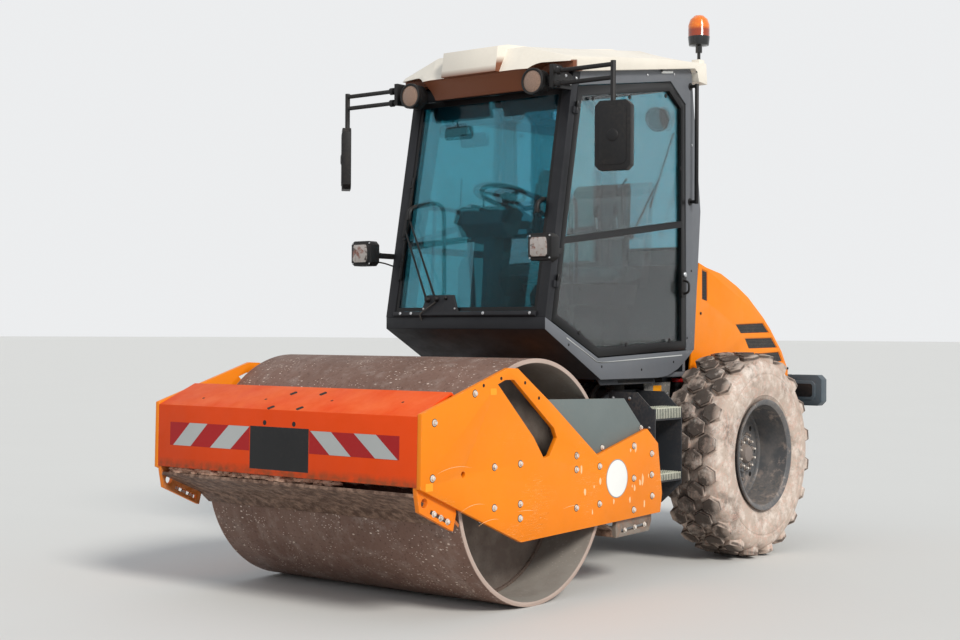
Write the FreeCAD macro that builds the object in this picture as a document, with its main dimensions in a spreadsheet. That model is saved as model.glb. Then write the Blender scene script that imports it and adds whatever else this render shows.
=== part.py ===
import FreeCAD, Part

import math
import os

from FreeCAD import Placement, Rotation, Vector

import Sketcher

# Road roller: one smooth drum in front, two driven tyres behind, hinged in the middle.
# Millimetres. +X forward, +Y to the machine's left, +Z up, ground at Z = 0.

document = FreeCAD.newDocument("RoadRoller")

# Driving sizes: name, value, meaning
SIZES = [
    ("front_to_drum", 916, "front edge of the frame to the drum axis"),
    ("wheelbase", 2200, "drum axis to rear axle"),
    ("rear_overhang", 1314, "rear axle to the rear end"),
    ("pivot_back", 1100, "drum axis back to the steering pin"),
    ("cab_ahead", 901, "rear axle forward to the line that the cab's outlines are measured from"),
    ("running_clearance", 0.05, "radial clearance of a shaft in its bore"),
    ("seat_gap", 0.3, "gap between curved faces that nearly touch"),
    ("joint_gap", 5, "air gap round a door or lid"),
    ("drum_radius", 600, "outer radius of the drum"),
    ("drum_width", 1680, "width of the drum"),
    ("drum_wall", 22, "thickness of the drum shell"),
    ("head_recess", 300, "depth of the drum ends"),
    ("head_wall", 20, "thickness of the drum heads"),
    ("journal_radius", 110, "radius of the drum journals"),
    ("journal_length", 70, "length of the drum journals"),
    ("plate_outer_y", 890, "outer face of the side plates"),
    ("plate_wall", 25, "thickness of the side plates"),
    ("cover_wall", 12, "thickness of the covers in the side plates' notches"),
    ("beam_wall", 14, "plate thickness of the two cross beams"),
    ("crossbeam_back", 779, "drum axis back to the rear face of the rear cross beam"),
    ("crossbeam_depth", 130, "fore and aft depth of the rear cross beam"),
    ("crossbeam_drop", 160, "oscillation axis down to the rear cross beam's underside"),
    ("crossbeam_rise", 115, "oscillation axis up to the rear cross beam's top"),
    ("carrier_wall", 24, "thickness of the drum carrier plates"),
    ("bracket_wall", 24, "thickness of the scraper brackets"),
    ("lashing_radius", 22, "radius of the front lashing holes"),
    ("rear_lashing_radius", 20, "radius of the rear lashing holes"),
    ("buffer_width", 180, "width of a rubber buffer"),
    ("buffer_height", 170, "height of a rubber buffer"),
    ("buffer_length", 110, "length of a rubber buffer"),
    ("post_size", 120, "width of a carrier's buffer post"),
    ("pivot_height", 600, "height of the oscillation axis"),
    ("pivot_radius", 100, "radius of the pivot block's barrel"),
    ("pivot_barrel", 220, "height of the pivot block's barrel"),
    ("pin_radius", 45, "radius of the steering pin"),
    ("trunnion_radius", 80, "radius of the oscillation trunnion"),
    ("housing_radius", 150, "radius of the oscillation bearing housing"),
    ("housing_length", 190, "length of the oscillation bearing housing"),
    ("fork_wall", 40, "thickness of the steering fork's ears"),
    ("fork_radius", 110, "radius of the fork's ears"),
    ("eye_back", 85, "steering pin back to the cylinder's eye"),
    ("eye_side", 235, "steering pin sideways to the cylinder's eye"),
    ("eye_height", 50, "height of the cylinder's eyes"),
    ("eye_radius", 40, "radius of the cylinder's eyes"),
    ("eye_pin", 15, "radius of the pin at the cylinder's rear end"),
    ("lug_wall", 20, "thickness of the lugs round the cylinder's eyes"),
    ("anchor_back", 719, "steering pin back to the cylinder's rear eye"),
    ("barrel_back", 264, "steering pin back to the front end of the cylinder's barrel"),
    ("barrel_radius", 45, "radius of the cylinder's barrel"),
    ("rod_radius", 22, "radius of the cylinder's rod"),
    ("nose_back", 79, "steering pin back to the front end of the rear frame"),
    ("bulkhead_back", 269, "steering pin back to the rear frame's bulkhead"),
    ("weight_depth", 215, "fore and aft depth of the counterweight"),
    ("chassis_half", 420, "half width of the rear frame"),
    ("chassis_wall", 20, "plate thickness of the rear frame"),
    ("chassis_drop", 170, "oscillation axis down to the underside of the rear frame"),
    ("chassis_high", 1000, "top of the rear frame"),
    ("axle_radius", 110, "radius of the rear axle housing"),
    ("axle_half", 640, "half length of the rear axle housing"),
    ("stub_radius", 60, "radius of the axle's wheel stubs"),
    ("tyre_radius", 610, "outer radius of a tyre under load, out to its lugs"),
    ("tyre_width", 378, "width of a tyre"),
    ("tyre_outer_y", 920, "outer face of a tyre"),
    ("lug_height", 30, "height of a tyre's lugs"),
    ("lug_length", 116, "length of a tyre's lug round the tyre"),
    ("rim_radius", 305, "seat radius of a rim"),
    ("flange_radius", 329, "flange radius of a rim"),
    ("rim_wall", 9, "thickness of a rim"),
    ("disc_y", 690, "wheel disc's place across the machine"),
    ("cab_half", 555, "half width of the cab"),
    ("cab_wall", 40, "thickness of the cab's lower panels"),
    ("cab_post", 60, "width of the cab's posts across the machine"),
    ("door_sunk", 2, "doors' outer face inside the cab's"),
    ("hinge_out", 10, "door hinge line outside the cab's side"),
    ("knuckle_radius", 9, "radius of a hinge knuckle"),
    ("knuckle_length", 35, "length of a hinge knuckle"),
    ("door_wall", 38, "thickness of a door"),
    ("glass_wall", 6, "thickness of the panes"),
    ("roof_over", 35, "overhang of the roof past the cab's side"),
    ("hood_half", 500, "half width of the engine hood"),
    ("hood_wall", 12, "wall thickness of the engine hood"),
    ("vent_depth", 5, "depth of the hood's vents"),
    ("engine_length", 800, "length of the engine"),
    ("engine_half", 250, "half width of the engine"),
    ("engine_low", 760, "underside of the engine"),
    ("engine_high", 1380, "top of the engine"),
    ("weight_low", 450, "underside of the counterweight"),
    ("weight_high", 1055, "top of the counterweight"),
    ("step_outer_y", 727, "outer face of the steps"),
    ("step_setback", 168, "steering pin back to the front end of the upper step"),
    ("step_ahead", 643, "rear axle forward to the rear end of the steps"),
    ("wheel_radius", 158, "radius of the steering wheel"),
    ("wheel_grip", 14, "radius of the steering wheel's rim"),
    ("wheel_stem", 110, "length of the steering wheel's stem"),
    ("mirror_reach", 475, "reach of the mirrors past the cab's side"),
    ("mirror_width", 195, "width of a mirror"),
    ("mirror_height", 355, "height of a mirror"),
    ("mirror_depth", 50, "thickness of a mirror"),
    ("lamp_width", 150, "width of a headlamp"),
    ("rear_lamp_reach", 255, "reach of the rear lamp housings past the rear frame"),
    ("tube_radius", 12, "radius of the mirror arms and grab handles"),
]

sheet = document.addObject("Spreadsheet::Sheet", "Sizes")
for row, (name, value, meaning) in enumerate(SIZES, start=1):
    sheet.set("A%d" % row, meaning)
    sheet.set("B%d" % row, str(value))
    sheet.setAlias("B%d" % row, name)
document.recompute()


class Size:
    """A length that knows its value and the expression that ties it to the sheet."""

    def __init__(self, value, text=None):
        self.value = float(value)
        self.text = text if text else "%.6f mm" % self.value

    def __add__(self, other):
        other = as_size(other)
        return Size(self.value + other.value, "(%s + %s)" % (self.text, other.text))

    def __sub__(self, other):
        other = as_size(other)
        return Size(self.value - other.value, "(%s - %s)" % (self.text, other.text))

    def __mul__(self, factor):
        return Size(self.value * factor, "(%s * %.6f)" % (self.text, factor))

    def __neg__(self):
        return self * -1

    __radd__ = __add__
    __rmul__ = __mul__

    def __rsub__(self, other):
        return as_size(other) - self

    def __float__(self):
        return self.value


def as_size(number):
    return number if isinstance(number, Size) else Size(number)


class Sheet:
    """Reads a named cell as a Size."""

    def __getattr__(self, name):
        return Size(getattr(sheet, name), "Sizes.%s * 1 mm" % name)


dim = Sheet()

half_length = (dim.front_to_drum + dim.wheelbase + dim.rear_overhang) * 0.5
rear_x = -half_length
drum_x = half_length - dim.front_to_drum
axle_x = drum_x - dim.wheelbase
pivot_x = drum_x - dim.pivot_back
cab_x = axle_x + dim.cab_ahead
chassis_rear = rear_x + dim.weight_depth
chassis_low = dim.pivot_height - dim.chassis_drop
chassis_front = pivot_x - dim.nose_back
bulkhead_x = pivot_x - dim.bulkhead_back
anchor_x = pivot_x - dim.anchor_back
barrel_front = pivot_x - dim.barrel_back
crossbeam_low = dim.pivot_height - dim.crossbeam_drop
crossbeam_high = dim.pivot_height + dim.crossbeam_rise
plate_inner_y = dim.plate_outer_y - dim.plate_wall
roof_half = dim.cab_half + dim.roof_over
SIDES = [("left", 1), ("right", -1)]

# A tyre's lugs stand in four rings of flat-topped hexagons, each ring half a pitch from the next.
LUG_COUNT = 20
lug_pitch = 2 * math.pi / LUG_COUNT
lug_half_turn = math.asin(float(dim.lug_length) / 2 / float(dim.tyre_radius))
lug_top = dim.tyre_radius * math.cos(lug_half_turn)
axle_z = dim.tyre_radius * math.cos(lug_pitch / 2 - lug_half_turn)
finished = []


def bind(thing, attribute, size):
    """Set a property and tie it to the sheet."""
    thing.setExpression(attribute, as_size(size).text)


def place(thing, x, y, z, rotation=None):
    thing.Placement = Placement(Vector(float(x), float(y), float(z)), rotation or Rotation())
    bind(thing, "Placement.Base.x", x)
    bind(thing, "Placement.Base.y", y)
    bind(thing, "Placement.Base.z", z)


def name_part(thing, label):
    """Give a finished sub-part its name and remember it for the export."""
    thing.Label = label
    finished.append(thing)
    return thing


def box(x_range, y_range, z_range):
    """A block between two planes along each axis."""
    block = document.addObject("Part::Box", "Block")
    for attribute, (low, high) in zip(("Length", "Width", "Height"), (x_range, y_range, z_range)):
        bind(block, attribute, as_size(high) - low)
    place(block, x_range[0], y_range[0], z_range[0])
    return block


AXIS_TURNS = {
    "X": Rotation(Vector(0, 1, 0), 90),
    "Y": Rotation(Vector(1, 0, 0), -90),
    "Z": Rotation(),
}


def cylinder(axis, centre, radius, low, high):
    """A round bar along an axis, from low to high; centre is its place on that axis's plane."""
    bar = document.addObject("Part::Cylinder", "Bar")
    bind(bar, "Radius", radius)
    bind(bar, "Height", as_size(high) - low)
    first, second = centre
    corner = {"X": (low, first, second), "Y": (first, low, second), "Z": (first, second, low)}[axis]
    place(bar, *corner, AXIS_TURNS[axis])
    return bar


def fuse(parts):
    joined = document.addObject("Part::MultiFuse", "Joined")
    joined.Shapes = parts
    joined.Refine = True
    return joined


def cut(base, tools):
    tool = tools[0] if len(tools) == 1 else fuse(tools)
    result = document.addObject("Part::Cut", "Trimmed")
    result.Base = base
    result.Tool = tool
    result.Refine = True
    return result


def gather(parts):
    """Several solids that don't touch, kept as one sub-part."""
    group = document.addObject("Part::Compound", "Group")
    group.Links = parts
    return group


def side_range(side, inner, outer):
    """The span across the machine between two distances from its middle, on one side."""
    return (as_size(inner), as_size(outer)) if side > 0 else (-as_size(outer), -as_size(inner))


PLANE_ROLES = {"XZ": "XZ_Plane", "YZ": "YZ_Plane", "XY": "XY_Plane"}


def new_sketch(body, plane, offset):
    sketch = body.newObject("Sketcher::SketchObject", "Outline")
    origin_plane = [one for one in body.Origin.OriginFeatures if one.Role == PLANE_ROLES[plane]][0]
    sketch.AttachmentSupport = (origin_plane, [""])
    sketch.MapMode = "FlatFace"
    sketch.AttachmentOffset = Placement(Vector(*[float(one) for one in offset]), Rotation())
    for letter, one in zip("xyz", offset):
        bind(sketch, "AttachmentOffset.Base.%s" % letter, one)
    return sketch


def add_loop(sketch, points):
    """Draw a closed outline and tie each of its corners to the sheet."""
    first = sketch.GeometryCount
    corners = [(as_size(u), as_size(v)) for u, v in points]
    count = len(corners)
    for index in range(count):
        start = corners[index]
        end = corners[(index + 1) % count]
        line = Part.LineSegment(Vector(start[0].value, start[1].value, 0),
                                Vector(end[0].value, end[1].value, 0))
        sketch.addGeometry(line, False)
    for index in range(count):
        here = first + index
        after = first + (index + 1) % count
        sketch.addConstraint(Sketcher.Constraint("Coincident", here, 2, after, 1))
    for index, corner in enumerate(corners):
        for kind, size in zip(("DistanceX", "DistanceY"), corner):
            number = sketch.addConstraint(
                Sketcher.Constraint(kind, -1, 1, first + index, 1, size.value))
            sketch.setExpression("Constraints[%d]" % number, size.text)


def add_circle(sketch, u, v, radius):
    centre = Vector(float(u), float(v), 0)
    circle = sketch.addGeometry(Part.Circle(centre, Vector(0, 0, 1), float(radius)), False)
    for kind, size in (("DistanceX", as_size(u)), ("DistanceY", as_size(v))):
        number = sketch.addConstraint(Sketcher.Constraint(kind, -1, 1, circle, 3, size.value))
        sketch.setExpression("Constraints[%d]" % number, size.text)
    number = sketch.addConstraint(Sketcher.Constraint("Radius", circle, float(radius)))
    sketch.setExpression("Constraints[%d]" % number, as_size(radius).text)


def prism(plane, outline, span, holes=(), loops=()):
    """A flat outline with round holes and inner loops, extruded over a span."""
    low, high = as_size(span[0]), as_size(span[1])
    body = document.addObject("PartDesign::Body", "Prism")
    depth = -high if plane == "XZ" else low
    sketch = new_sketch(body, plane, (0, 0, depth))
    add_loop(sketch, outline)
    for loop in loops:
        add_loop(sketch, loop)
    for u, v, radius in holes:
        add_circle(sketch, u, v, radius)
    pad = body.newObject("PartDesign::Pad", "Pad")
    pad.Profile = sketch
    bind(pad, "Length", high - low)
    body.Tip = pad
    return body


def turned(centre, profile, axis="Y"):
    """A profile of (along, radius) points turned about a line through centre."""
    x, y, z = centre
    body = document.addObject("PartDesign::Body", "Turned")
    if axis == "Y":
        sketch = new_sketch(body, "YZ", (y, z, x))
        points = profile
        line = "H_Axis"
    elif axis == "X":
        sketch = new_sketch(body, "XZ", (x, z, -as_size(y)))
        points = profile
        line = "H_Axis"
    else:
        sketch = new_sketch(body, "XZ", (x, z, -as_size(y)))
        points = [(radius, along) for along, radius in profile]
        line = "V_Axis"
    add_loop(sketch, points)
    revolution = body.newObject("PartDesign::Revolution", "Turn")
    revolution.Profile = sketch
    revolution.ReferenceAxis = (sketch, [line])
    revolution.Angle = 360
    body.Tip = revolution
    return body


def lofted(sections):
    """Flat-sided body through outlines in upright planes, each given with its place across."""
    body = document.addObject("PartDesign::Body", "Lofted")
    sketches = []
    for y, outline in sections:
        sketch = new_sketch(body, "XZ", (0, 0, -as_size(y)))
        add_loop(sketch, outline)
        sketches.append(sketch)
    loft = body.newObject("PartDesign::AdditiveLoft", "Loft")
    loft.Profile = sketches[0]
    loft.Sections = sketches[1:]
    loft.Ruled = True
    body.Tip = loft
    return body


def faceted(stations, count):
    """A closed body of flat facets round the Y axis, from (along, radius) stations."""
    rings = []
    for along, radius in stations:
        turns = [2 * math.pi * step / count for step in range(count + 1)]
        rings.append([Vector(float(radius) * math.sin(turn), float(along), float(radius) * math.cos(turn))
                      for turn in turns])
    faces = [Part.Face(Part.makePolygon(rings[0])), Part.Face(Part.makePolygon(rings[-1]))]
    for near, far in zip(rings, rings[1:]):
        for step in range(count):
            corners = [near[step], near[step + 1], far[step + 1], far[step], near[step]]
            faces.append(Part.Face(Part.makePolygon(corners)))
    shell = Part.Shell(faces)
    shell.sewShape()
    solid = Part.Solid(shell)
    if solid.Volume < 0:
        solid.reverse()
    body = document.addObject("Part::Feature", "Facets")
    body.Shape = solid
    return body


def mirrored(source):
    """The same piece on the machine's other side."""
    twin = document.addObject("Part::Mirroring", "Mirrored")
    twin.Source = source
    twin.Normal = Vector(0, 1, 0)
    return twin


def clipped(width, height, corner):
    """A rectangle about its centre, with its corners cut off."""
    u, v = width * 0.5, height * 0.5
    return [(u - corner, -v), (u, corner - v), (u, v - corner), (u - corner, v), (corner - u, v), (-u, v - corner),
            (-u, corner - v), (corner - u, -v)]


def moved(points, u, v):
    return [(as_size(u) + first, as_size(v) + second) for first, second in points]


def shifted(points, x):
    """An outline given as distances from a reference line, moved to its place."""
    return [(as_size(x) + u, v) for u, v in points]


# Drum

def make_drum():
    half = dim.drum_width * 0.5
    inner = dim.drum_radius - dim.drum_wall
    centre = (drum_x, 0, dim.drum_radius)
    shell = turned(centre, [(-half, inner), (-half, dim.drum_radius), (half, dim.drum_radius), (half, inner)])
    name_part(shell, "drum_shell")
    heads = []
    for name, side in SIDES:
        outer = (half - dim.head_recess) * side
        inside = outer - dim.head_wall * side
        end = outer + dim.journal_length * side
        heads.append(turned(centre, [
            (inside, 0), (inside, inner - dim.seat_gap), (outer, inner - dim.seat_gap),
            (outer, dim.journal_radius + 40), (outer + 15 * side, dim.journal_radius),
            (end, dim.journal_radius), (end, 0)]))
    name_part(gather(heads), "drum_heads")


# Front frame. Outlines are (distance from the drum axis, height).

SIDE_PLATE = [(910, 964), (286, 1158), (212, 1155), (-64, 980), (-463, 706), (-932, 819),
              (-1039, 737), (-1082, 467), (-1063, 366), (178, 330), (916, 635)]
PLATE_SLOT = [(365, 1083), (309, 1102), (243, 1102), (-82, 860), (-108, 812), (-47, 727),
              (0, 718), (83, 823)]
NOTCH_COVER = [(-30, 1000), (-745, 985), (-915, 832), (-920, 790), (-463, 672), (-30, 970)]
FRONT_BEAM = [(916, 640), (911, 953), (674, 1055), (655, 1040), (690, 760), (760, 640)]
BUFFER_PLACES = [(290, 607), (-378, 552)]
CARRIER = [(400, 520), (400, 700), (100, 780), (-180, 780), (-490, 640), (-490, 465), (-120, 430),
           (160, 430)]
FRONT_BLADE = [(905, 612), (650, 505), (586, 448), (594, 436), (660, 492), (909, 597)]
FRONT_BRACKET = [(911, 640), (745, 640), (660, 600), (638, 505), (660, 426), (894, 531), (911, 620)]
REAR_BLADE = [(-720, 266), (-720, 316), (-668, 316), (-558, 364), (-563, 351), (-668, 300), (-668, 266)]
REAR_BRACKET = [(-667, 317), (-690, 405), (-1010, 405), (-1015, 332), (-990, 273), (-671, 264)]
FRONT_SLOT = [(815, 537), (672, 472), (680, 454), (823, 519)]
REAR_SLOT = [(-975, 320), (-720, 304), (-720, 286), (-975, 302)]
LASHING_HOLE = (861, 569)


def make_side_plates():
    slot = shifted(PLATE_SLOT, drum_x)
    for name, side in SIDES:
        plate = prism("XZ", shifted(SIDE_PLATE, drum_x), side_range(side, plate_inner_y, dim.plate_outer_y),
                      holes=[(drum_x + 620, 681, 14)], loops=[slot])
        name_part(plate, "side_plate_%s" % name)
    covers = []
    for name, side in SIDES:
        span = side_range(side, plate_inner_y - dim.cover_wall, plate_inner_y)
        covers.append(prism("XZ", shifted(NOTCH_COVER, drum_x), span))
    name_part(gather(covers), "notch_covers")


def inset(points, wall):
    """The inner loop of a closed section: every side moved inwards by the wall."""
    count = len(points)
    area = sum(float(points[i][0]) * float(points[(i + 1) % count][1])
               - float(points[(i + 1) % count][0]) * float(points[i][1]) for i in range(count))
    turn = 1 if area > 0 else -1
    result = []
    for index in range(count):
        before, here, after = points[index - 1], points[index], points[(index + 1) % count]
        first = Vector(float(here[0]) - float(before[0]), float(here[1]) - float(before[1]), 0).normalize()
        second = Vector(float(after[0]) - float(here[0]), float(after[1]) - float(here[1]), 0).normalize()
        bisector = Vector(-first.y - second.y, first.x + second.x, 0)
        scale = turn * 2 / bisector.dot(bisector)
        result.append((here[0] + wall * (bisector.x * scale), here[1] + wall * (bisector.y * scale)))
    return result


def make_beams():
    span = (-plate_inner_y, plate_inner_y)
    section = shifted(FRONT_BEAM, drum_x)
    name_part(prism("XZ", section, span, loops=[inset(section, dim.beam_wall)]), "front_beam")
    rear = drum_x - dim.crossbeam_back
    front = rear + dim.crossbeam_depth
    section = [(rear, crossbeam_low), (front, crossbeam_low), (front, crossbeam_high), (rear, crossbeam_high)]
    beam = prism("XZ", section, span, loops=[inset(section, dim.beam_wall)])
    housing = cylinder("X", (0, dim.pivot_height), dim.housing_radius, rear - dim.housing_length, rear)
    ribs = [prism("XY", [(rear - dim.housing_length + 40, -120), (rear, -330), (rear, 330),
                         (rear - dim.housing_length + 40, 120)], (low, low + 20))
            for low in (dim.pivot_height - 120, dim.pivot_height + 100)]
    bore = cylinder("X", (0, dim.pivot_height), dim.trunnion_radius + dim.running_clearance,
                    rear - dim.housing_length - 1, front + 1)
    name_part(cut(fuse([beam, housing] + ribs), [bore]), "rear_crossbeam")


def make_drum_carriers():
    half = dim.drum_width * 0.5
    head_face = half - dim.head_recess
    low = head_face + 25
    high = low + dim.carrier_wall
    post_end = plate_inner_y - dim.buffer_length
    carriers = []
    buffers = []
    for name, side in SIDES:
        bore = dim.journal_radius + dim.running_clearance
        plate = prism("XZ", shifted(CARRIER, drum_x), side_range(side, low, high),
                      holes=[(drum_x, dim.drum_radius, bore)])
        posts = []
        for x, z in BUFFER_PLACES:
            middle = drum_x + x
            posts.append(box((middle - dim.post_size * 0.5, middle + dim.post_size * 0.5),
                             side_range(side, high, post_end),
                             (z - dim.post_size * 0.5, z + dim.post_size * 0.5)))
            buffers.append(box((middle - dim.buffer_width * 0.5, middle + dim.buffer_width * 0.5),
                               side_range(side, post_end, plate_inner_y),
                               (z - dim.buffer_height * 0.5, z + dim.buffer_height * 0.5)))
        carriers.append(fuse([plate] + posts))
    name_part(gather(carriers), "drum_carriers")
    name_part(gather(buffers), "rubber_buffers")


def make_scrapers():
    hole = (drum_x + LASHING_HOLE[0], LASHING_HOLE[1], dim.lashing_radius)
    bars = []
    for blade, bracket, slot, holes in ((FRONT_BLADE, FRONT_BRACKET, FRONT_SLOT, [hole]),
                                        (REAR_BLADE, REAR_BRACKET, REAR_SLOT, [])):
        inner = plate_inner_y - dim.bracket_wall
        pieces = [prism("XZ", shifted(blade, drum_x), (-inner, inner))]
        for name, side in SIDES:
            pieces.append(prism("XZ", shifted(bracket, drum_x), side_range(side, inner, plate_inner_y),
                                holes=holes, loops=[shifted(slot, drum_x)]))
        bars.append(fuse(pieces))
    name_part(gather(bars), "scrapers")


# Steering pivot between the two frames

def lug_spans():
    """The heights of the two lugs that hold a cylinder's eye."""
    reach = dim.eye_height * 0.5 + 1
    return [(dim.pivot_height + reach, dim.pivot_height + reach + dim.lug_wall),
            (dim.pivot_height - reach - dim.lug_wall, dim.pivot_height - reach)]


def make_pivot():
    low = dim.pivot_height - dim.pivot_barrel * 0.5
    high = dim.pivot_height + dim.pivot_barrel * 0.5
    rear = drum_x - dim.crossbeam_back
    barrel = cylinder("Z", (pivot_x, 0), dim.pivot_radius, low, high)
    trunnion = cylinder("X", (0, dim.pivot_height), dim.trunnion_radius, pivot_x, rear + 60)
    collar = cylinder("X", (0, dim.pivot_height), dim.pivot_radius, pivot_x,
                      rear - dim.housing_length - dim.seat_gap)
    bore = cylinder("Z", (pivot_x, 0), dim.pin_radius + dim.running_clearance, low - 1, high + 1)
    eye_x = pivot_x - dim.eye_back
    tip = dim.eye_side + dim.eye_radius
    arms = [prism("XY", [(pivot_x - 90, 20), (eye_x - dim.eye_radius, dim.eye_side), (eye_x - 20, tip),
                         (eye_x + 20, tip), (eye_x + dim.eye_radius, dim.eye_side), (pivot_x + 60, 60),
                         (pivot_x + 60, 20)], span) for span in lug_spans()]
    name_part(cut(fuse([barrel, trunnion, collar] + arms), [bore]), "pivot_block")


# Rear frame

def make_chassis():
    inner = dim.chassis_half - dim.chassis_wall
    barrel_low = dim.pivot_height - dim.pivot_barrel * 0.5 - dim.seat_gap
    barrel_high = dim.pivot_height + dim.pivot_barrel * 0.5 + dim.seat_gap
    outline = [(chassis_front, chassis_low), (chassis_front, dim.chassis_high - 60),
               (chassis_front - 120, dim.chassis_high), (chassis_rear, dim.chassis_high),
               (chassis_rear, chassis_low + 120), (chassis_rear + 500, chassis_low)]
    holes = [(axle_x, axle_z, dim.axle_radius + dim.seat_gap),
             (chassis_rear + 90, 700, dim.rear_lashing_radius)]
    sides = [prism("XZ", outline, side_range(side, inner, dim.chassis_half), holes=holes)
             for name, side in SIDES]
    bulkhead = bulkhead_x - dim.chassis_wall
    walls = [box((chassis_rear, chassis_rear + dim.chassis_wall), (-inner, inner),
                 (chassis_low + 120, dim.chassis_high)),
             box((anchor_x - 40, bulkhead), (-inner, inner), (chassis_low, chassis_low + dim.chassis_wall))]
    bearers = [box((x, x + 70), (-inner, inner), (dim.engine_low - 60, dim.engine_low))
               for x in (axle_x - 690, axle_x - 250)]
    bearers.append(box((axle_x + 350, axle_x + 420), (-inner, inner), (dim.chassis_high - 60, dim.chassis_high)))
    rails = [box((chassis_rear, cab_x - 700), side_range(side, dim.chassis_half, dim.hood_half + 5),
                 (dim.chassis_high - dim.chassis_wall, dim.chassis_high)) for name, side in SIDES]
    anchor = [box((anchor_x - 40, anchor_x + 35), (dim.eye_side - dim.eye_radius, inner), span)
              for span in lug_spans()]
    anchor.append(cylinder("Z", (anchor_x, dim.eye_side), dim.eye_pin, lug_spans()[1][0], lug_spans()[0][1]))
    name_part(fuse(sides + walls + bearers + rails + anchor), "rear_chassis")
    ears = [prism("YZ", [(-inner, chassis_low), (inner, chassis_low), (inner, dim.chassis_high),
                         (-inner, dim.chassis_high)], (bulkhead, bulkhead_x),
                  loops=[[(dim.eye_side - 110, dim.pivot_height - 60), (dim.eye_side + 110, dim.pivot_height - 60),
                          (dim.eye_side + 110, dim.pivot_height + 60),
                          (dim.eye_side - 110, dim.pivot_height + 60)]])]
    for span in ((barrel_low - dim.fork_wall, barrel_low), (barrel_high, barrel_high + dim.fork_wall)):
        ears.append(prism("XY", [(bulkhead, -300), (pivot_x, -dim.fork_radius), (pivot_x, dim.fork_radius),
                                 (bulkhead, 300)], span))
        ears.append(cylinder("Z", (pivot_x, 0), dim.fork_radius, *span))
    bore = cylinder("Z", (pivot_x, 0), dim.pin_radius + dim.seat_gap, barrel_low - dim.fork_wall - 1,
                    barrel_high + dim.fork_wall + 1)
    name_part(cut(fuse(ears), [bore]), "steering_fork")
    pin = fuse([cylinder("Z", (pivot_x, 0), dim.pin_radius, barrel_low - dim.fork_wall,
                         barrel_high + dim.fork_wall),
                cylinder("Z", (pivot_x, 0), dim.pin_radius + 25, barrel_high + dim.fork_wall,
                         barrel_high + dim.fork_wall + 15)])
    name_part(pin, "steering_pin")


def make_axle():
    bar = cylinder("Y", (axle_x, axle_z), dim.axle_radius, -dim.axle_half, dim.axle_half)
    bell = cylinder("Y", (axle_x, axle_z), dim.axle_radius + 35, -180, 180)
    stubs = cylinder("Y", (axle_x, axle_z), dim.stub_radius, -dim.disc_y - 60, dim.disc_y + 60)
    name_part(fuse([bar, bell, stubs]), "rear_axle")


# Rings of lugs: place across the tyre from its middle, place round it in pitches, drop of the top, lean
LUG_RINGS = [(42, 0, 0, 0), (-42, 0.5, 0, 0), (125, 0.5, 7, -8), (-125, 0, 7, 8)]
TYRE_STATIONS = [(144, 318), (171, 345), (189, 440), (181, 530), (144, 566), (70, 582)]


def make_lugs(middle):
    lugs = []
    for across, phase, drop, lean in LUG_RINGS:
        depth = dim.lug_height + 10 + drop * 5
        bottom = lug_top - drop - depth
        for number in range(LUG_COUNT):
            turn = (number + phase) * lug_pitch
            lug = document.addObject("Part::Prism", "Lug")
            lug.Polygon = 6
            bind(lug, "Circumradius", dim.lug_length * 0.5)
            bind(lug, "Height", depth)
            facing = Rotation(Vector(0, 1, 0), math.degrees(turn)) * Rotation(Vector(1, 0, 0), lean)
            shift = math.sin(math.radians(-lean)) * float(depth)
            place(lug, axle_x + bottom * math.sin(turn), middle + (across - shift), axle_z + bottom * math.cos(turn),
                  facing)
            lugs.append(lug)
    return lugs


def make_wheels():
    outer = dim.tyre_outer_y
    inner = outer - dim.tyre_width
    middle = outer - dim.tyre_width * 0.5
    stations = [(-across, radius) for across, radius in TYRE_STATIONS] + list(reversed(TYRE_STATIONS))
    base = faceted(stations, LUG_COUNT)
    place(base, axle_x, middle, axle_z)
    bore = cylinder("Y", (axle_x, axle_z), dim.rim_radius + dim.seat_gap, inner - 1, outer + 1)
    tyre = cut(fuse([base] + make_lugs(middle)), [bore])
    name_part(tyre, "tyre_left")
    name_part(mirrored(tyre), "tyre_right")
    bore = dim.stub_radius + dim.running_clearance
    disc = dim.disc_y
    low = dim.rim_radius - dim.rim_wall
    rim = [(inner + 6, dim.flange_radius - 8), (inner + 6, dim.flange_radius), (inner + 22, dim.rim_radius),
           (outer - 22, dim.rim_radius), (outer - 14, dim.flange_radius), (outer - 2, dim.flange_radius),
           (outer - 2, dim.flange_radius - 8), (outer - 16, low), (disc + 20, low),
           (disc + 20, dim.axle_radius + 20), (disc + 90, dim.axle_radius), (disc + 90, 0), (disc + 62, 0),
           (disc + 62, bore), (disc - 20, bore), (disc - 20, low), (inner + 20, low)]
    for name, side in SIDES:
        name_part(turned((axle_x, 0, axle_z), [(along * side, radius) for along, radius in rim]), "rim_%s" % name)


def hood_knuckles(direction):
    """Halves of the hood's hinges: the counterweight's for direction 1, the hood's for -1."""
    x = chassis_rear - 5
    z = dim.weight_high + dim.knuckle_radius + 2
    halves = []
    for middle in (-300, 300):
        low = middle if direction > 0 else middle - dim.knuckle_length - dim.seat_gap
        high = low + dim.knuckle_length
        halves.append(cylinder("Y", (x, z), dim.knuckle_radius, low, high))
        span = (dim.weight_high, z) if direction > 0 else (z - 6, z + 6)
        halves.append(box((x - 8, x + 5) if direction > 0 else (x, x + 12), (low, high), span))
    return halves


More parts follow.
